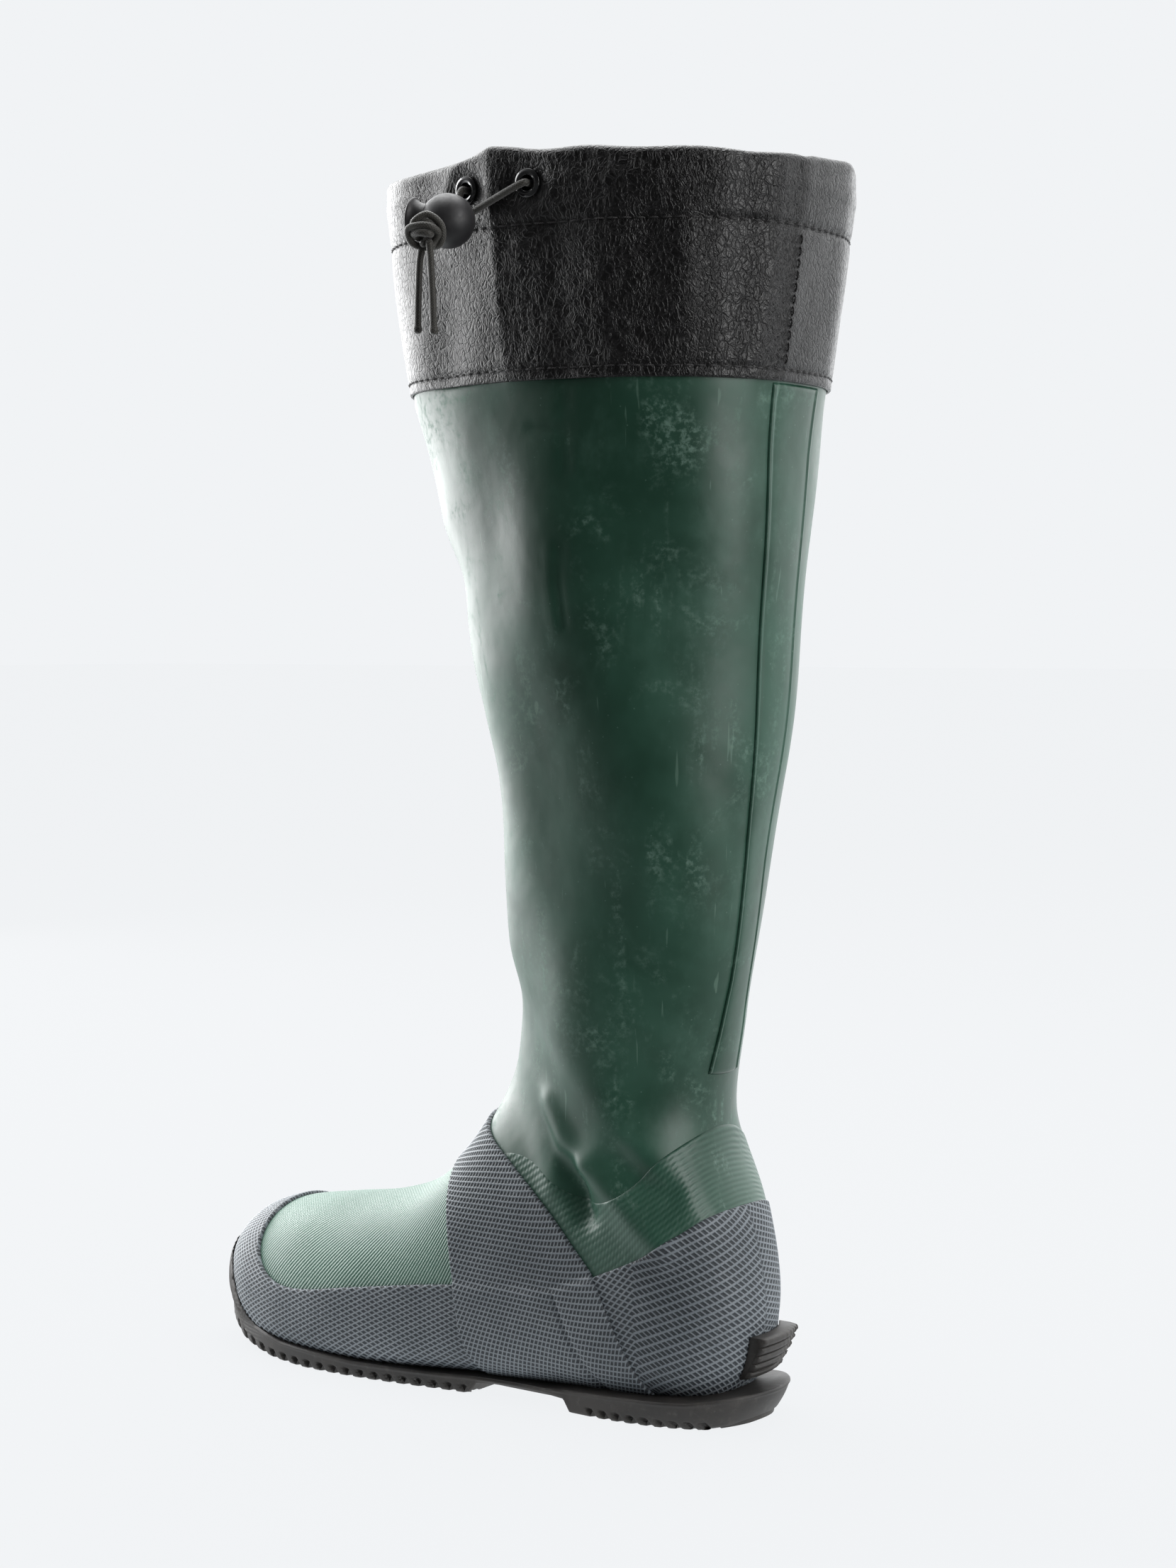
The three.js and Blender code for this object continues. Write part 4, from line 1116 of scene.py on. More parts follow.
# The insole's underside lies above the base line, [y, z], by the board and a gap
INSOLE_UNDERSIDE, INSOLE_THICKNESS = 1.9, 4.5
INSOLE_BASE = [(44, 21), (28, 18.5), (-28, 16.5), (-72, 15), (-106, 12.5), (-136, 12), (-165, 12.2),
               (-190, 13.2), (-212, 17)]


def make_lining():
    sheet = Sheet(0.25, float(at_height(RUBBER_TOP)), 2.4, wrap=True)
    count = len(sheet.points)
    columns = int(sheet.quads[0][3] - sheet.quads[0][0])
    faces = sheet.quads.tolist() + [list(range(columns))]
    backs = [[index + count for index in face[::-1]] for face in faces]
    last = count - columns
    rim = [[last + k, last + (k + 1) % columns, last + (k + 1) % columns + count, last + k + count]
           for k in range(columns)]
    outer = sheet.points - sheet.normals * LINING_OUTER
    inner = sheet.points - sheet.normals * LINING_INNER
    make_piece("lining", np.vstack([outer, inner]), faces + backs + rim, "lining_fabric",
               pattern=np.vstack([sheet.pattern, sheet.pattern]))


def make_insole():
    # The insole's outline is the inside of the lining at the insole's height
    base = np.array(curve(INSOLE_BASE, 80))[::-1]
    u, angle = np.meshgrid(np.linspace(0.2, 12, 700), np.linspace(0, 2 * np.pi, 500), indexing="ij")
    plain = surface(u, angle)
    wall = (plain - normals_of(plain, False) * 3.5).reshape(-1, 3)
    y = np.linspace(-207.5, 38.5, 150)
    low = np.interp(y, base[:, 0], base[:, 1])
    edge = []
    for place, level in zip(y, low):
        near = wall[(np.abs(wall[:, 1] - place) < 1.6) & (np.abs(wall[:, 2] - level - 4) < 1.6)]
        edge.append((near[:, 0].min(), near[:, 0].max()) if len(near) else (np.nan, np.nan))
    edge = np.array(edge)
    known = ~np.isnan(edge[:, 0])
    y, low, edge = y[known], low[known] + INSOLE_UNDERSIDE, edge[known]
    share = np.sin(np.linspace(-np.pi / 2, np.pi / 2, 61))
    x = edge[:, :1] + (edge[:, 1:] - edge[:, :1]) * (share + 1) / 2
    ends = np.clip(np.minimum(y - y[0], y[-1] - y) / 1.5, 0, 1)[:, None]
    lip = 1.1 * np.abs(share) ** 4
    roll = 1 - np.sqrt(np.clip(1 - np.clip((np.abs(share) - 0.985) / 0.015, 0, 1) ** 2, 0, 1))
    top = low[:, None] + INSOLE_THICKNESS * (0.35 + 0.65 * np.sqrt(ends)) + lip - 1.2 * roll
    bottom = low[:, None] + 0 * x
    yy = y[:, None] + 0 * x
    points, faces = slab(np.stack([x, yy, top], -1), np.stack([x, yy, bottom], -1), flip=True)
    make_piece("insole", points, faces, "insole_fabric", pattern=points[:, :2], sharp=40)
    board = frame["nodes"]["insole_board"]
    board.data.materials.clear()
    board.data.materials.append(MATERIALS["insole_board"])


# ---- Outsole and kick strip ----
SOLE_OUTLINE = [
    (0, 50.5), (14, 47), (25, 38), (31, 24), (33, 5), (33, -20), (32.5, -50), (35.5, -75), (40, -100),
    (43, -125), (43, -150), (38.5, -175), (28, -196), (13, -212.5), (-7, -219.5), (-22, -215),
    (-34, -200), (-41, -180), (-43.5, -150), (-42.5, -120), (-38, -90), (-33, -60), (-31, -30),
    (-31.5, 0), (-31, 20), (-26, 37), (-14, 47),
]
TREAD_DEPTH = 2.6
TREAD_WIDTH = 2.4
TREAD_SWEEP = 10
GROOVES = [-198 + 6.8 * k for k in range(19)] + [-16 + 6 * k for k in range(9)]


def side_height(outline, y):
    points = np.array(sorted(outline))
    return np.interp(y, points[:, 0], points[:, 1])


def tread(x, y):
    """Depth of the tread's chevron grooves."""
    depth = np.zeros_like(x)
    for start in GROOVES:
        into = y - start - TREAD_SWEEP * np.abs(x) / 60 - TREAD_WIDTH / 2
        depth = np.maximum(depth, TREAD_DEPTH * (1 - step_up(np.abs(into) - TREAD_WIDTH / 2, 0.5)))
    return depth


def foot_tree():
    sheet = Sheet(0.05, 13, 2.5, wrap=True)
    return BVHTree.FromPolygons([Vector(p) for p in sheet.points], sheet.quads.tolist())


def make_outsole(tree):
    count = 760
    outline = smooth_path(SOLE_OUTLINE, count, closed=True)
    spine_x = np.interp(outline[:, 1], [-215, -150, -60, 40], [-8, -2, 0, 0])
    spine = np.stack([spine_x * 0.8, np.clip(outline[:, 1], -188, 22)], 1)
    outward = unit(np.stack([np.roll(outline, -1, 0)[:, 1] - np.roll(outline, 1, 0)[:, 1],
                             np.roll(outline, 1, 0)[:, 0] - np.roll(outline, -1, 0)[:, 0]], 1))
    if (outward * (outline - spine)).sum() < 0:
        outward = -outward

    def ring(share, out):
        place = (outline + (spine - outline) * np.reshape(share, (-1, 1))
                 + outward * np.reshape(out, (-1, 1)))
        return place[:, 0], place[:, 1]

    rows = []
    # Under face, from the middle out to the edge
    for share in np.linspace(1, 0.004, 46):
        x, y = ring(share, (-0.5 - 4.5 * step_up(outline[:, 1] - 16, 26)) * (1 - share))
        arch = step_up(-np.abs(y + 44) + 21, 2)
        ribs = 0.25 * np.cos(2 * np.pi * x / 3) * arch
        rows.append(np.stack([x, y, side_height(SOLE_UNDERSIDE, y) + tread(x, y) + ribs], 1))
    # Edge: up the side, with a rounded foot, ribs round the toe and a small lip
    low = side_height(SOLE_UNDERSIDE, outline[:, 1])
    high = side_height(SOLE_TOP, outline[:, 1])
    toe = step_up(-178 - outline[:, 1], 12)
    waist = step_up(-np.abs(outline[:, 1] + 44) + 22, 3)
    heel_flare = step_up(outline[:, 1] - 16, 26)
    for v in np.linspace(0, 1, 25):
        z = low + (high - low) * v
        shown = np.clip(1 - (z - low) / (TREAD_DEPTH + 0.3), 0, 1)
        lean = -0.5 * (1 - np.clip((z - low) / 1.0, 0, 1)) ** 2
        rib = 0.22 * np.cos(2 * np.pi * z / 1.45)
        lip = 0.35 * step_up(z - high + 1.4, 0.5) - 0.7 * step_up(z - high + 0.35, 0.35)
        flare = heel_flare * (0.8 * v - 4.5 * (1 - v) ** 1.6)
        out = lean + rib * np.maximum(toe, waist) * (1 - shown) + lip * (1 - toe) + flare
        # Slanted cuts in the lower edge, where the tread's grooves come out
        slant = tread(outline[:, 0], outline[:, 1] + 0.8 * (z - low)) / TREAD_DEPTH
        out = out - 1.7 * slant * np.clip(1 - (z - low - TREAD_DEPTH) / 0.8, 0, 1)
        # Round the toe the edge follows the foot, a little outside the guard, as a bumper
        for k in np.flatnonzero((toe > 0.02) & (z > 8)):
            start = outline[k] + 40 * outward[k]
            hit = tree.ray_cast(Vector((*start, z[k])), Vector((*-outward[k], 0)))[0]
            if hit is not None:
                clear = (np.array(hit[:2]) - outline[k]) @ outward[k] + 1.2 + (1.1 + rib[k]) * toe[k]
                hug = max(float(step_up(z[k] - 16, 8)), float(clear > out[k]))
                out[k] += (clear - out[k]) * hug
        x, y = ring(0, out)
        rows.append(np.stack([x, y, z], 1))
    # Upper face, in to the foot and then down under it
    for inward in list(np.linspace(0.4, 13, 16)) + [17, 23, 30]:
        room = np.linalg.norm(spine - outline, axis=1)
        x, y = ring(np.minimum(inward / np.maximum(room, 1), 0.97), out * max(0, 1 - inward / 8))
        z = side_height(SOLE_TOP, y)
        for k in range(count):
            hit = tree.ray_cast(Vector((x[k], y[k], -30)), Vector((0, 0, 1)))[0]
            if hit is not None:
                z[k] = min(z[k], max(hit.z - 0.45, side_height(SOLE_UNDERSIDE, y[k]) + 1.2))
        rows.append(np.stack([x, y, z], 1))
    points = np.array(rows)
    total = len(rows)
    faces = grid_faces(total, count, closed_columns=True).tolist()
    faces.append(list(range(count - 1, -1, -1)))
    faces.append([(total - 1) * count + k for k in range(count)])
    pattern = grid_places(np.arange(count) * 0.8, np.arange(total))
    piece = make_piece("outsole", points.reshape(-1, 3), faces, "black_rubber", pattern=pattern, sharp=50)
    fix_normals(piece)


def make_kick_strip(tree):
    middle_x, half, bottom, top, ribs = -6, 14.5, 17, 33.5, 5
    pitch = (top - bottom) / ribs
    middle = (bottom + top) / 2
    x = middle_x + np.concatenate([[-half], np.linspace(-half + 0.25, half - 0.25, 46), [half]])
    inset = np.concatenate([[0.6], [0.18], np.zeros(44), [0.18], [0.6]])
    z = np.linspace(bottom, top, 76)
    crest = np.abs(np.sin(np.pi * (z - bottom) / pitch)) ** 0.6
    out = 3.6 + 1.4 * crest + 3.8 * (z - bottom) / (top - bottom)
    out[0] -= 0.9
    out[-1] -= 0.9
    loop = [(o, h) for o, h in zip(out, z)]
    loop += [(o, top + 0.12) for o in np.linspace(out[-1] - 0.5, 2.2, 8)]
    loop += [(1.95, h) for h in np.linspace(top, bottom, 14)]
    loop += [(o, bottom - 0.12) for o in np.linspace(2.2, out[0] - 0.5, 8)]
    points = []
    for place, less in zip(x, inset):
        for o, h in loop:
            hit, normal, _, _ = tree.ray_cast(Vector((place, 100, h)), Vector((0, -1, 0)))
            lean = max(abs(normal.y), 0.6)
            points.append((place, hit.y + (o - (less if o > 3 else 0)) / lean,
                           h + (middle - h) * less * 0.05))
    rows, columns = len(x), len(loop)
    faces = grid_faces(rows, columns, closed_columns=True).tolist()
    ends = [[row * columns + k for k in range(columns)] for row in (0, rows - 1)]
    pattern = grid_places(np.arange(columns), x)[:, ::-1]
    piece = make_piece("heel_kick_strip", np.array(points), faces + ends, "black_rubber",
                       pattern=pattern, sharp=50)
    fix_normals(piece)


# ---- Cuff ----
CUFF_OUT, CUFF_IN, FLAP_OUT, FLAP_IN = 1.6, 0.4, -3.4, -4.6
TUNNEL_CORD_OFFSET, TUNNEL_CORD_HEIGHT = -1.5, 454.5
FACET = 2 * math.pi / 20
CORNER = [(73.5, -26, 466), (70.5, -24, 425), (67.5, -22, 384)]
SEAM = [(11, 71, 464), (11.6, 68.5, 440), (12.3, 64, 412), (12.8, 61, 384)]
# Soft upright folds of the cuff: path, width and height
CUFF_FOLDS = [
    ([(70, 0, 438), (67, 2, 386)], 7, -1.1),
    ([(67, 18, 438), (64, 19, 386)], 5, 0.9),
    ([(60, 33, 440), (57, 33, 386)], 5, -1.0),
    ([(52, 44, 440), (50, 43, 386)], 5, 1.0),
    ([(36, 60, 464), (35, 55, 386)], 6, -0.9),
    ([(24, 66, 464), (24, 60, 386)], 5, 0.7),
    ([(66, -58, 464), (62, -52, 386)], 12, -1.6),
    ([(30, -100, 464), (30, -94, 386)], 14, -1.4),
    ([(-30, -100, 464), (-28, -94, 386)], 12, 1.2),
    ([(-66, -50, 464), (-62, -46, 386)], 12, -1.3),
    ([(-72, -10, 464), (-66, -10, 386)], 10, 1.0),
    ([(-60, 35, 464), (-56, 33, 386)], 9, -1.1),
    ([(-20, 66, 464), (-20, 60, 386)], 8, 0.8),
]


def leg_point(offset, height, angle):
    """A point of the leg at a height, moved out from the plain surface; for the CAD model's facets."""
    u = at_height(height)
    place = surface(np.array([[u - 0.02] * 3, [u] * 3, [u + 0.02] * 3]),
                    np.array([[angle - 0.02, angle, angle + 0.02]] * 3))
    return place[1, 1] + offset * normals_of(place, False)[1, 1]


def eyelet_places():
    """Each eyelet's centre on the cuff's outer face, and its outward direction."""
    out = {}
    for name, angle, along in (("front", math.pi / 2 - FACET / 2, 0.5),
                               ("rear", math.pi / 2 + FACET / 2, 0.36)):
        def corner(side, height):
            return leg_point(CUFF_OUT, height, angle + side * FACET / 2)
        a, b = corner(-1, TUNNEL_CORD_HEIGHT), corner(1, TUNNEL_CORD_HEIGHT)
        up = corner(-1, BOOT_TOP - 2) - corner(-1, 444) + corner(1, BOOT_TOP - 2) - corner(1, 444)
        out[name] = (a + (b - a) * along, unit(np.cross(b - a, up)))
    return out


EYELETS = eyelet_places()


def cuff_form(points):
    """How far the cuff's folds, seam and sewn lines stand out or in."""
    x, y, z = np.moveaxis(points, -1, 0)
    corner = distance_to_path(points, CORNER)
    height = 2.1 * np.exp(-corner / 8.5)
    seam = distance_to_path(points, SEAM)
    height += 0.7 * np.exp(-(seam / 5) ** 2) - 1.3 * np.exp(-(seam / 1.1) ** 2)
    for path, width, rise in CUFF_FOLDS:
        height += rise * np.exp(-(distance_to_path(points, path) / width) ** 2)
    turn = np.arctan2(x, y + 22)
    height += 0.35 * np.sin(11 * turn + z / 17) * np.sin(z / 21 + 2 * turn)
    # Pulled in along the sewn lines, with small puckers between the stitches
    pucker = 0.8 + 0.2 * np.cos(2 * np.pi * turn * 18)
    height -= 0.75 * pucker * np.exp(-((z - TUNNEL_STITCH) / 1.5) ** 2)
    height -= 0.55 * pucker * np.exp(-((z - HEM_STITCH) / 1.3) ** 2)
    height += 0.5 * np.sin(np.pi * np.clip((z - TUNNEL_STITCH - 1) / 22, 0, 1))
    height += 0.35 * np.exp(-((z - TUNNEL_CORD_HEIGHT) / 2.2) ** 2)
    # Quiet round the eyelets, where the lock's cords come through
    for centre, _ in EYELETS.values():
        away = np.linalg.norm(points - centre, axis=-1)
        height *= 1 - np.exp(-(away / 9.5) ** 4)
    return height


def top_wave(points):
    """The cuff's upper edge isn't level: it rises and dips a little round the leg."""
    x, y, _ = np.moveaxis(points, -1, 0)
    turn = np.arctan2(x, y + 22)
    wave = 0.7 * np.sin(3 * turn + 0.6) + 0.45 * np.sin(7 * turn + 2.1) + 0.3 * np.sin(13 * turn)
    plan = points * [1, 1, 0]
    corner = distance_to_path(plan, [(73.5, -26, 0), (73, -26.5, 0)])
    seam = distance_to_path(plan, [(11, 71, 0), (11, 70.5, 0)])
    back = distance_to_path(plan, [(-28, 60, 0), (-30, 59, 0)])
    side = distance_to_path(plan, [(74, -12, 0), (72, 6, 0)])
    return (wave + 3.4 * np.exp(-corner / 16) - 1.0 * np.exp(-(seam / 4) ** 2)
            + 3.6 * np.exp(-(back / 26) ** 2) + 2.6 * np.exp(-(side / 20) ** 2))


def on_cuff(offset, height, angle):
    """Points of the cuff's sheet: rows of offsets and heights, columns of angles."""
    u = at_height(np.asarray(height, float))[:, None] * np.ones(angle.shape[-1])
    plain = surface(u, angle)
    normals = normals_of_rings(plain)
    stand = dents(plain)
    points = plain + normals * (np.asarray(offset)[:, None] + stand)[..., None]
    lift = step_up(np.asarray(height)[:, None] - 457, 6) * top_wave(plain)
    points[..., 2] += lift
    for centre, direction in EYELETS.values():
        out = (points - centre) @ direction
        away = np.linalg.norm(points - centre - out[..., None] * direction, axis=-1)
        flat = 1 - step_up(away - 8, 2.6)
        flat = np.where(np.abs(out) < 14, flat, 0)
        target = np.asarray(offset)[:, None] - CUFF_OUT + 0 * out
        points = points + ((target - out) * flat)[..., None] * direction
    return points


def normals_of_rings(plain):
    """Outward normals of level rings round the leg, leaning with the leg's slope."""
    around = np.roll(plain, -1, axis=1) - np.roll(plain, 1, axis=1)
    flat = unit(np.stack([around[..., 1], -around[..., 0], 0 * around[..., 0]], -1))
    middle = plain.mean(axis=1, keepdims=True)
    if ((plain - middle) * flat).sum() < 0:
        flat = -flat
    return flat


def cuff_angles(count):
    """Angles evenly spaced in distance round the leg."""
    fine = np.linspace(0, 2 * np.pi, 1500)
    length = distances(surface(np.full(1500, float(at_height(430))), fine))
    return np.interp(np.linspace(0, length[-1], count, endpoint=False), length, fine)


WALL_TOP, FLAP_BOTTOM, CROWN_RISE = 461, 447, 3


def make_cuff():
    columns = 560
    angle = cuff_angles(columns)
    profile = [(CUFF_IN + 0.1, CUFF_BOTTOM), (CUFF_OUT - 0.3, CUFF_BOTTOM), (CUFF_OUT, CUFF_BOTTOM + 0.35)]
    profile += [(CUFF_OUT, z) for z in np.linspace(386, WALL_TOP, 88)]
    crown = (CUFF_OUT + FLAP_IN) / 2
    radius = (CUFF_OUT - FLAP_IN) / 2
    for turn in np.linspace(0, np.pi, 13)[1:-1]:
        profile.append((crown + radius * math.cos(turn), WALL_TOP + CROWN_RISE * math.sin(turn)))
    profile += [(FLAP_IN, z) for z in np.linspace(WALL_TOP, FLAP_BOTTOM, 12)]
    profile += [(FLAP_IN + 0.5, 444), (-3.0, 441.5), (-1.7, 439.6), (-1.4, TUNNEL_STITCH - 1.2)]
    profile += [(-0.2, TUNNEL_STITCH - 1.2), (-0.2, TUNNEL_STITCH + 0.2), (-2, 443.5),
                (FLAP_OUT + 0.2, FLAP_BOTTOM)]
    profile += [(FLAP_OUT, z) for z in np.linspace(449, 460.5, 8)]
    profile += [(-2.4, 462.3), (-1, 462.7), (0, 462.2), (CUFF_IN, 460.5)]
    profile += [(CUFF_IN, z) for z in np.linspace(458.5, 386.5, 36)]
    offset, height = np.transpose(profile)
    grid = np.repeat(angle[None, :], len(offset), 0)
    points = on_cuff(offset, height, grid)
    rows = len(offset)
    flat = points.reshape(-1, 3)
    faces = grid_faces(rows, columns, closed_columns=True, closed_rows=True)
    # Holes in the outer wall for the eyelets
    middle = flat[faces].mean(1)
    wall = np.repeat(offset > 0.2, columns)[faces[:, 0]]
    keep = np.ones(len(faces), bool)
    for centre, direction in EYELETS.values():
        out = (middle - centre) @ direction
        away = np.linalg.norm(middle - centre - out[:, None] * direction, axis=1)
        keep &= ~((away < 3.9) & (np.abs(out) < 3) & wall)
    faces = faces[keep]
    pattern = grid_places(np.arange(columns) * (430.0 / columns), height)
    piece = make_piece("cuff", flat, faces, "cuff_leather", pattern=pattern)
    fix_normals(piece)


def stitch(path):
    """One stitch: a short thread that dips into the leather at both ends."""
    return tube(path, [0.26, 0.36, 0.38, 0.36, 0.26], 8)


def row_of_stitches(height):
    """A level row of stitches, taken from one fine ring of the cuff."""
    count, steps = 108, 12
    angles = cuff_angles(count * steps)
    low, middle, high = on_cuff([CUFF_OUT - 0.2, CUFF_OUT + 0.22, CUFF_OUT + 0.3], [height] * 3,
                                np.repeat(angles[None, :], 3, 0))
    return join([stitch([low[k], middle[k + 2], high[k + 4], middle[k + 6], low[k + 9]])
                 for k in range(0, count * steps, steps)])


def upright_stitches():
    """The stitches down the cuff's seam."""
    heights = np.linspace(391, 437.5, 12)
    seam = np.array(SEAM, float)[::-1]
    fine = cuff_angles(3000)
    parts = []
    for start, end in zip(heights[:-1], heights[1:]):
        z = np.linspace(start, end - 0.9, 5)
        rings = on_cuff([CUFF_OUT] * 5, z, np.repeat(fine[None, :], 5, 0))
        path = []
        for level, ring, rise in zip(z, rings, (-0.1, 0.45, 0.55, 0.45, -0.1)):
            x = np.interp(level, seam[:, 2], seam[:, 0])
            y = np.interp(level, seam[:, 2], seam[:, 1])
            near = ring[np.argmin((ring[:, 0] - x) ** 2 + (ring[:, 1] - y) ** 2)]
            path.append(near + unit(near * [1, 1, 0] - [0, -22, 0]) * rise)
        parts.append(stitch(path))
    return join(parts)


def make_stitching():
    for name, stitches in (("hem_stitching", row_of_stitches(HEM_STITCH)),
                           ("tunnel_stitching", row_of_stitches(TUNNEL_STITCH)),
                           ("cuff_seam_stitching", upright_stitches())):
        points, faces, pattern = stitches
        make_piece(name, points, faces, "thread", pattern=pattern)


# ---- Eyelets ----
def lathe(profile, segments, frame_matrix, centre, closed=True):
    """A profile of radius and height, turned about the third column of a frame."""
    angle = np.linspace(0, 2 * np.pi, segments, endpoint=False)
    profile = np.asarray(profile, float)
    local = np.stack([
        profile[:, 0, None] * np.cos(angle), profile[:, 0, None] * np.sin(angle),
        profile[:, 1, None] * np.ones(segments)], -1)
    points = local @ np.asarray(frame_matrix).T + centre
    rows = len(profile)
    faces = grid_faces(rows, segments, closed_columns=True, closed_rows=closed).tolist()
    if not closed:
        faces.append(list(range(segments)))
        faces.append([(rows - 1) * segments + k for k in range(segments)])
    return points.reshape(-1, 3), faces, grid_places(angle / (2 * np.pi), profile[:, 1])


def facing(direction):
    side = unit(np.cross([0, 0, 1.0], direction))
    return np.stack([side, np.cross(direction, side), direction], 1)


def arc(centre, radius, start, end, count):
    turn = np.radians(np.linspace(start, end, count))
    return [(centre[0] + radius * math.cos(t), centre[1] + radius * math.sin(t)) for t in turn]


def make_eyelets():
    ring = [(2.8, -1.9), (3.5, -1.9), (3.5, 0.1), (5.1, 0.12)]
    ring += arc((4.75, 0.5), 0.45, -50, 70, 8) + arc((3.9, 0.25), 1.05, 60, 130, 8)
    ring += arc((3.4, 0.55), 0.62, 130, 185, 6) + [(2.8, 0.0), (2.8, -1.0)]
    washer = [(3.8, -2.1), (4.7, -2.1), (4.75, -1.95), (4.75, -1.65), (4.7, -1.5), (3.8, -1.5)]
    for name, (centre, direction) in EYELETS.items():
        for node, profile in ((f"eyelet_{name}", ring), (f"eyelet_washer_{name}", washer)):
            points, faces, pattern = lathe(profile, 72, facing(direction), centre)
            piece = make_piece(node, points, faces, "eyelet", pattern=pattern, sharp=60)
            fix_normals(piece)


# ---- Cord lock ----
LOCK_X = np.array(JOINTS["drawcord_pull"]["axis"])
LOCK_Y = -np.array(JOINTS["cord_lock_press"]["axis"])
LOCK_Z = np.cross(LOCK_X, LOCK_Y)
LOCK_FRAME = np.stack([LOCK_Z, LOCK_X, LOCK_Y], 1)
LOCK_BORE, BORE_FLOOR, BUTTON_BASE = 5.8, -6.5, -0.8


def lock_point(x, y, z):
    return LOCK_CENTRE + x * LOCK_X + y * LOCK_Y + z * LOCK_Z


def cut_passage(piece, low, high, half):
    """Cuts a straight, round-ended passage along the cords' direction through a piece."""
    radius = (high - low) / 2
    middle = (high + low) / 2
    outline = arc((half - radius, middle), radius, -90, 90, 13)
    outline += arc((radius - half, middle), radius, 90, 270, 13)
    count = len(outline)
    points = [lock_point(x, y, z) for x in (-14, 14) for z, y in outline]
    faces = [[k, (k + 1) % count, (k + 1) % count + count, k + count] for k in range(count)]
    faces += [list(range(count))[::-1], [count + k for k in range(count)]]
    mesh = bpy.data.meshes.new("passage")
    mesh.from_pydata((np.array(points) * MM).tolist(), [], faces)
    cutter = add_object("passage", mesh)
    fix_normals(cutter)
    modifier = piece.modifiers.new("passage", "BOOLEAN")
    modifier.operation = "DIFFERENCE"
    modifier.solver = "EXACT"
    modifier.object = cutter
    bpy.context.view_layer.update()
    made = bpy.data.meshes.new_from_object(piece.evaluated_get(bpy.context.evaluated_depsgraph_get()))
    piece.modifiers.clear()
    piece.data = made
    bpy.data.objects.remove(cutter)
    made.polygons.foreach_set("use_smooth", [True] * len(made.polygons))
    made.set_sharp_from_angle(angle=math.radians(40))


def make_lock():
    rim = math.asin(math.sqrt(LOCK_RADIUS ** 2 - (LOCK_BORE + 0.5) ** 2) / LOCK_RADIUS)
    ball = [(0.01, -LOCK_RADIUS)]
    ball += [(LOCK_RADIUS * math.cos(t), LOCK_RADIUS * math.sin(t)) for t in np.linspace(-1.53, rim, 64)]
    mouth = LOCK_RADIUS * math.sin(rim)
    ball += arc((LOCK_BORE + 0.35, mouth - 0.15), 0.3, 45, 170, 6)
    ball += [(LOCK_BORE, mouth - 0.6), (LOCK_BORE, 2), (LOCK_BORE, BORE_FLOOR + 0.3),
             (LOCK_BORE - 0.3, BORE_FLOOR), (0.01, BORE_FLOOR)]
    points, faces, pattern = lathe(ball, 128, LOCK_FRAME, LOCK_CENTRE, closed=False)
    body = make_piece("cord_lock_body", points, faces, "lock_plastic", pattern=pattern)
    fix_normals(body)
    cut_passage(body, CORD_HOLE_LEVEL - 1.9, CORD_HOLE_LEVEL + 1.9, 3.5)

    button = [(0.01, BUTTON_BASE), (5.2, BUTTON_BASE), (5.5, -0.5), (5.5, 7.6), (5.35, 8.4),
              (5.2, 9.3), (5.25, 10.2), (5.5, 11.2), (6.0, 12.2), (6.5, 12.8)]
    button += arc((6.45, 13.5), 0.6, -60, 110, 10)
    button += [(5.7, 13.95), (5.0, 13.6), (4.2, 13.35), (3.0, 13.2), (1.5, 13.1), (0.01, 13.1)]
    points, faces, pattern = lathe(button, 96, LOCK_FRAME, LOCK_CENTRE, closed=False)
    plunger = make_piece("cord_lock_plunger", points, faces, "lock_plastic", pattern=pattern,
                         body="plunger")
    fix_normals(plunger)
    cut_passage(plunger, CORD_HOLE_LEVEL - 1.6, CORD_HOLE_LEVEL + 4.6, 3.1)

    turns, radius, wire = 4, 2.6, 0.3
    low, high = BORE_FLOOR + 0.6, BUTTON_BASE - 0.6
    t = np.linspace(0, 1, 240)
    path = [lock_point(radius * math.cos(2 * math.pi * turns * v), low + (high - low) * v,
                       radius * math.sin(2 * math.pi * turns * v)) for v in t]
    points, faces, pattern = tube(path, wire, 10)
    spring = make_piece("cord_lock_spring", points, faces, "spring_steel", pattern=pattern)
    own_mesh(spring)


# ---- Drawcord ----
KNOT_CENTRE = 14.9
KNOT_START = KNOT_CENTRE - 4.6
KNOT_DROP = 3.2
STRAND_SPACING = 3.0
TAILS = {
    "front": [(102.6, -33.5, 431.2), (102.7, -34.6, 426), (102.9, -35.2, 414), (103.1, -35.4, 400.6)],
    "rear": [(104.2, -29.2, 431.2), (104.5, -28.4, 426), (104.5, -27.6, 414), (104.2, -27.2, 399.6)],
}
# The knot's line, as distances right, up and towards the viewer from its centre
KNOT_RIGHT = np.array([-0.587, 0.810, 0])
KNOT_UP = np.array([0, 0, 1])
KNOT_NEAR = np.array([0.810, 0.587, 0.05])
KNOT = [
    (-1.6, 1.2, -3.4), (-3.2, 2.6, 0.6), (0.3, 4.7, 1.6), (4.3, 1.6, 1.2), (4.0, -2.8, -0.6),
    (0, -3.4, -2.6), (-4.3, -2.2, -1.6), (-5.2, 0.1, 0.9), (-2, 0.6, 3.2), (1.5, 0.2, 3.4),
    (3.1, -0.6, 1.5), (1.9, -2.4, -0.2), (0.4, -4.6, 0.2),
]


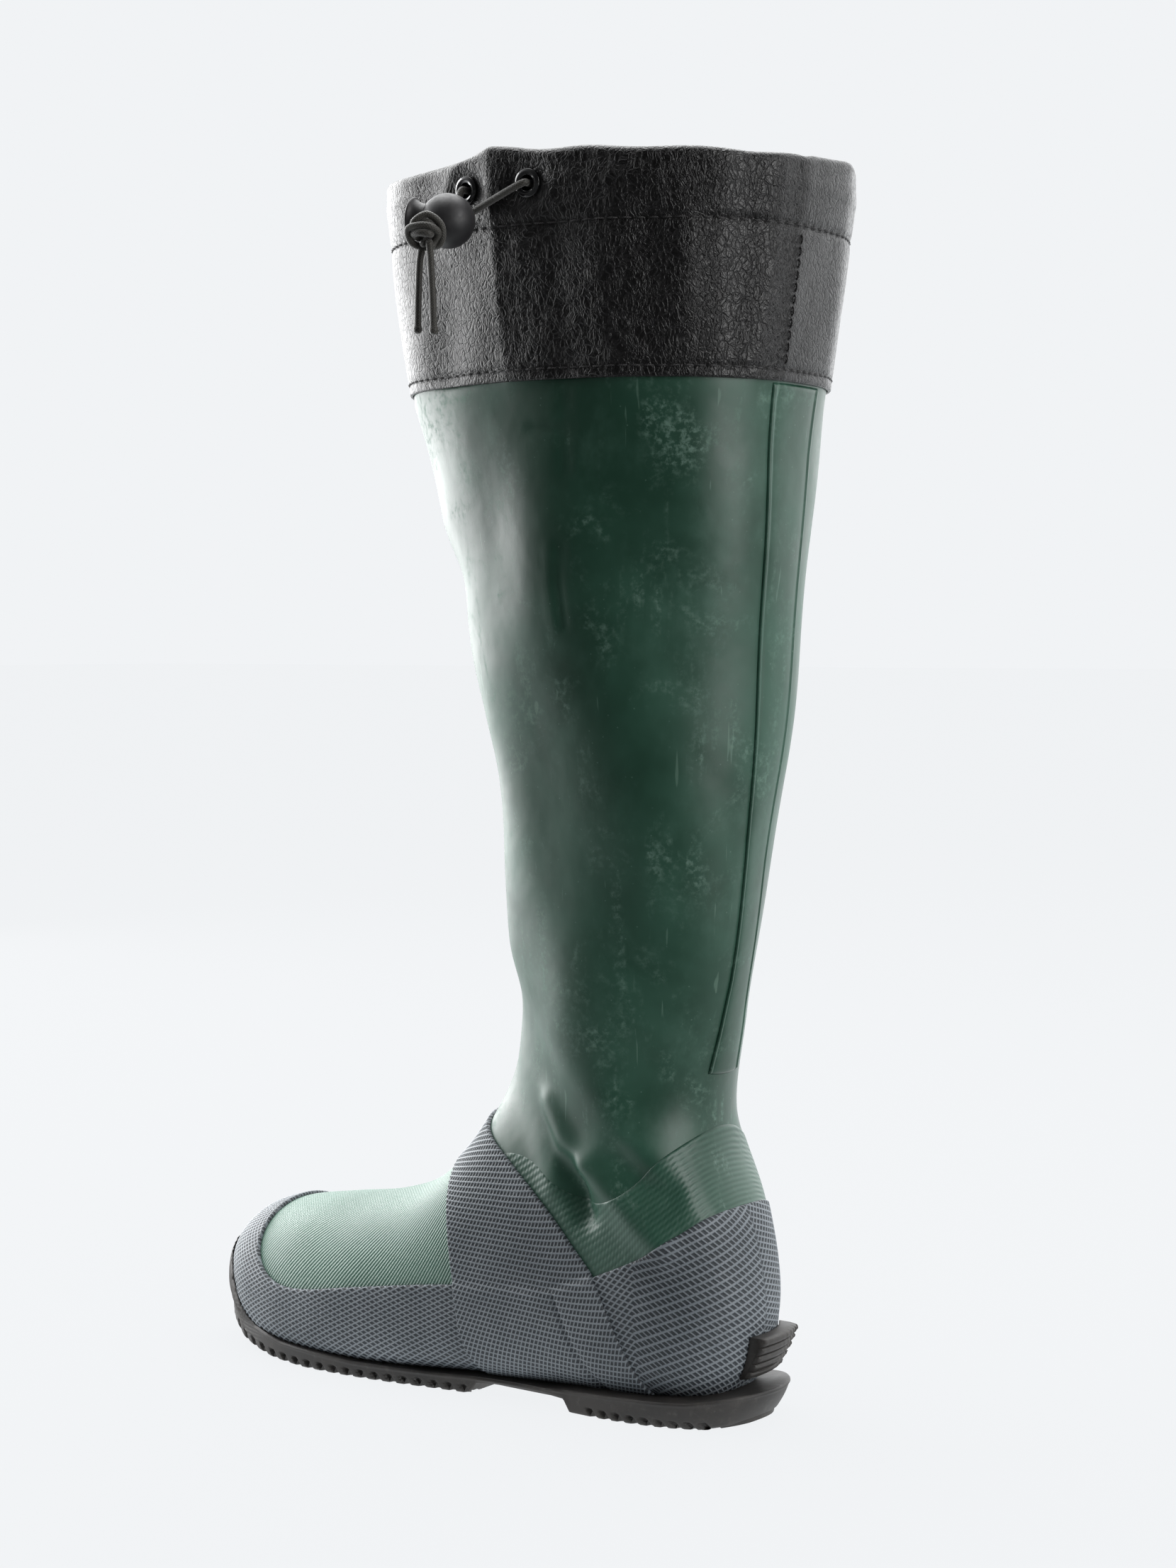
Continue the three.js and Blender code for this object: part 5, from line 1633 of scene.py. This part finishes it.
def make_cords():
    radius = CORD_DIAMETER / 2

    def cord_piece(name, path, body, size=radius, sides=18):
        points, faces, pattern = tube(path, size, sides)
        return make_piece(name, points, faces, "cord", pattern=pattern, body=body)

    tails = {}
    for name, route in TAILS.items():
        path = smooth_path(route, 90)
        from_end = np.linalg.norm(path - path[-1], axis=1)
        bead = 0.34 * np.exp(-((from_end - 0.9) / 1.0) ** 2)
        node = f"drawcord_tail_{name}"
        tails[name] = path
        piece = cord_piece(node, path, "cord_end", radius * 0.97 + bead)

    for name, side in (("front", -1), ("rear", 1)):
        z = side * STRAND_SPACING / 2
        strand = [lock_point(x, CORD_HOLE_LEVEL, z) for x in np.linspace(-LOCK_RADIUS, KNOT_START, 30)]
        cord_piece(f"drawcord_strand_{name}", strand, "cord_end")
        centre, direction = EYELETS[name]
        lead = [centre - 3.4 * direction, centre, centre + 2.6 * direction,
                lock_point(-12.95, CORD_HOLE_LEVEL, z), lock_point(-10.05, CORD_HOLE_LEVEL, z)]
        cord_piece(f"drawcord_lead_{name}", smooth_path(lead, 90), "boot")

    middle = lock_point(KNOT_CENTRE, CORD_HOLE_LEVEL, 0)
    basis = np.stack([KNOT_RIGHT, KNOT_UP, KNOT_NEAR])
    line = np.array(KNOT)
    heading = unit(np.gradient(line[:, :2], axis=0))
    across = np.stack([-heading[:, 1], heading[:, 0], 0 * heading[:, 0]], 1)
    strands = []
    for name, side in (("front", -1), ("rear", 1)):
        start = lock_point(KNOT_START, CORD_HOLE_LEVEL, side * STRAND_SPACING / 2)
        end = tails[name][0] + [0, 0, 0.4]
        inner = middle + (line + [0, -KNOT_DROP, 0] + across * side * 1.3) @ basis
        strands.append(tube(smooth_path(np.vstack([[start], inner, [end]]), 260), radius * 0.98, 18))
    points, faces, pattern = join(strands)
    make_piece("drawcord_knot", points, faces, "cord", pattern=pattern, body="cord_end")

    # Inside the tunnel, round the leg from one eyelet to the other
    start = math.pi / 2 + FACET
    end = math.pi / 2 - FACET + 2 * math.pi
    angle = cuff_angles(1500)
    ring = on_cuff([TUNNEL_CORD_OFFSET], [TUNNEL_CORD_HEIGHT], angle[None, :])[0]
    turned = (angle - start) % (2 * math.pi)
    inside = np.argsort(turned)
    inside = inside[turned[inside] <= end - start]
    path = ring[inside][::5]
    for name, where in (("rear", 0), ("front", len(path))):
        centre, direction = EYELETS[name]
        near = centre + direction * (TUNNEL_CORD_OFFSET - CUFF_OUT)
        stop = path[0] if where == 0 else path[-1]
        beside = near + unit(stop - near) * 7
        path = np.vstack([[beside], path]) if where == 0 else np.vstack([path, [beside]])
    cord_piece("drawcord_in_tunnel", smooth_path(path[::2], 420), "boot", sides=12)


make_camera()
make_light()
make_floor()
make_cords()
make_rubber()
make_grey_panels()
make_back_stay()
make_lining()
make_insole()
foot = foot_tree()
make_outsole(foot)
make_kick_strip(foot)
make_cuff()
make_stitching()
make_eyelets()
make_lock()
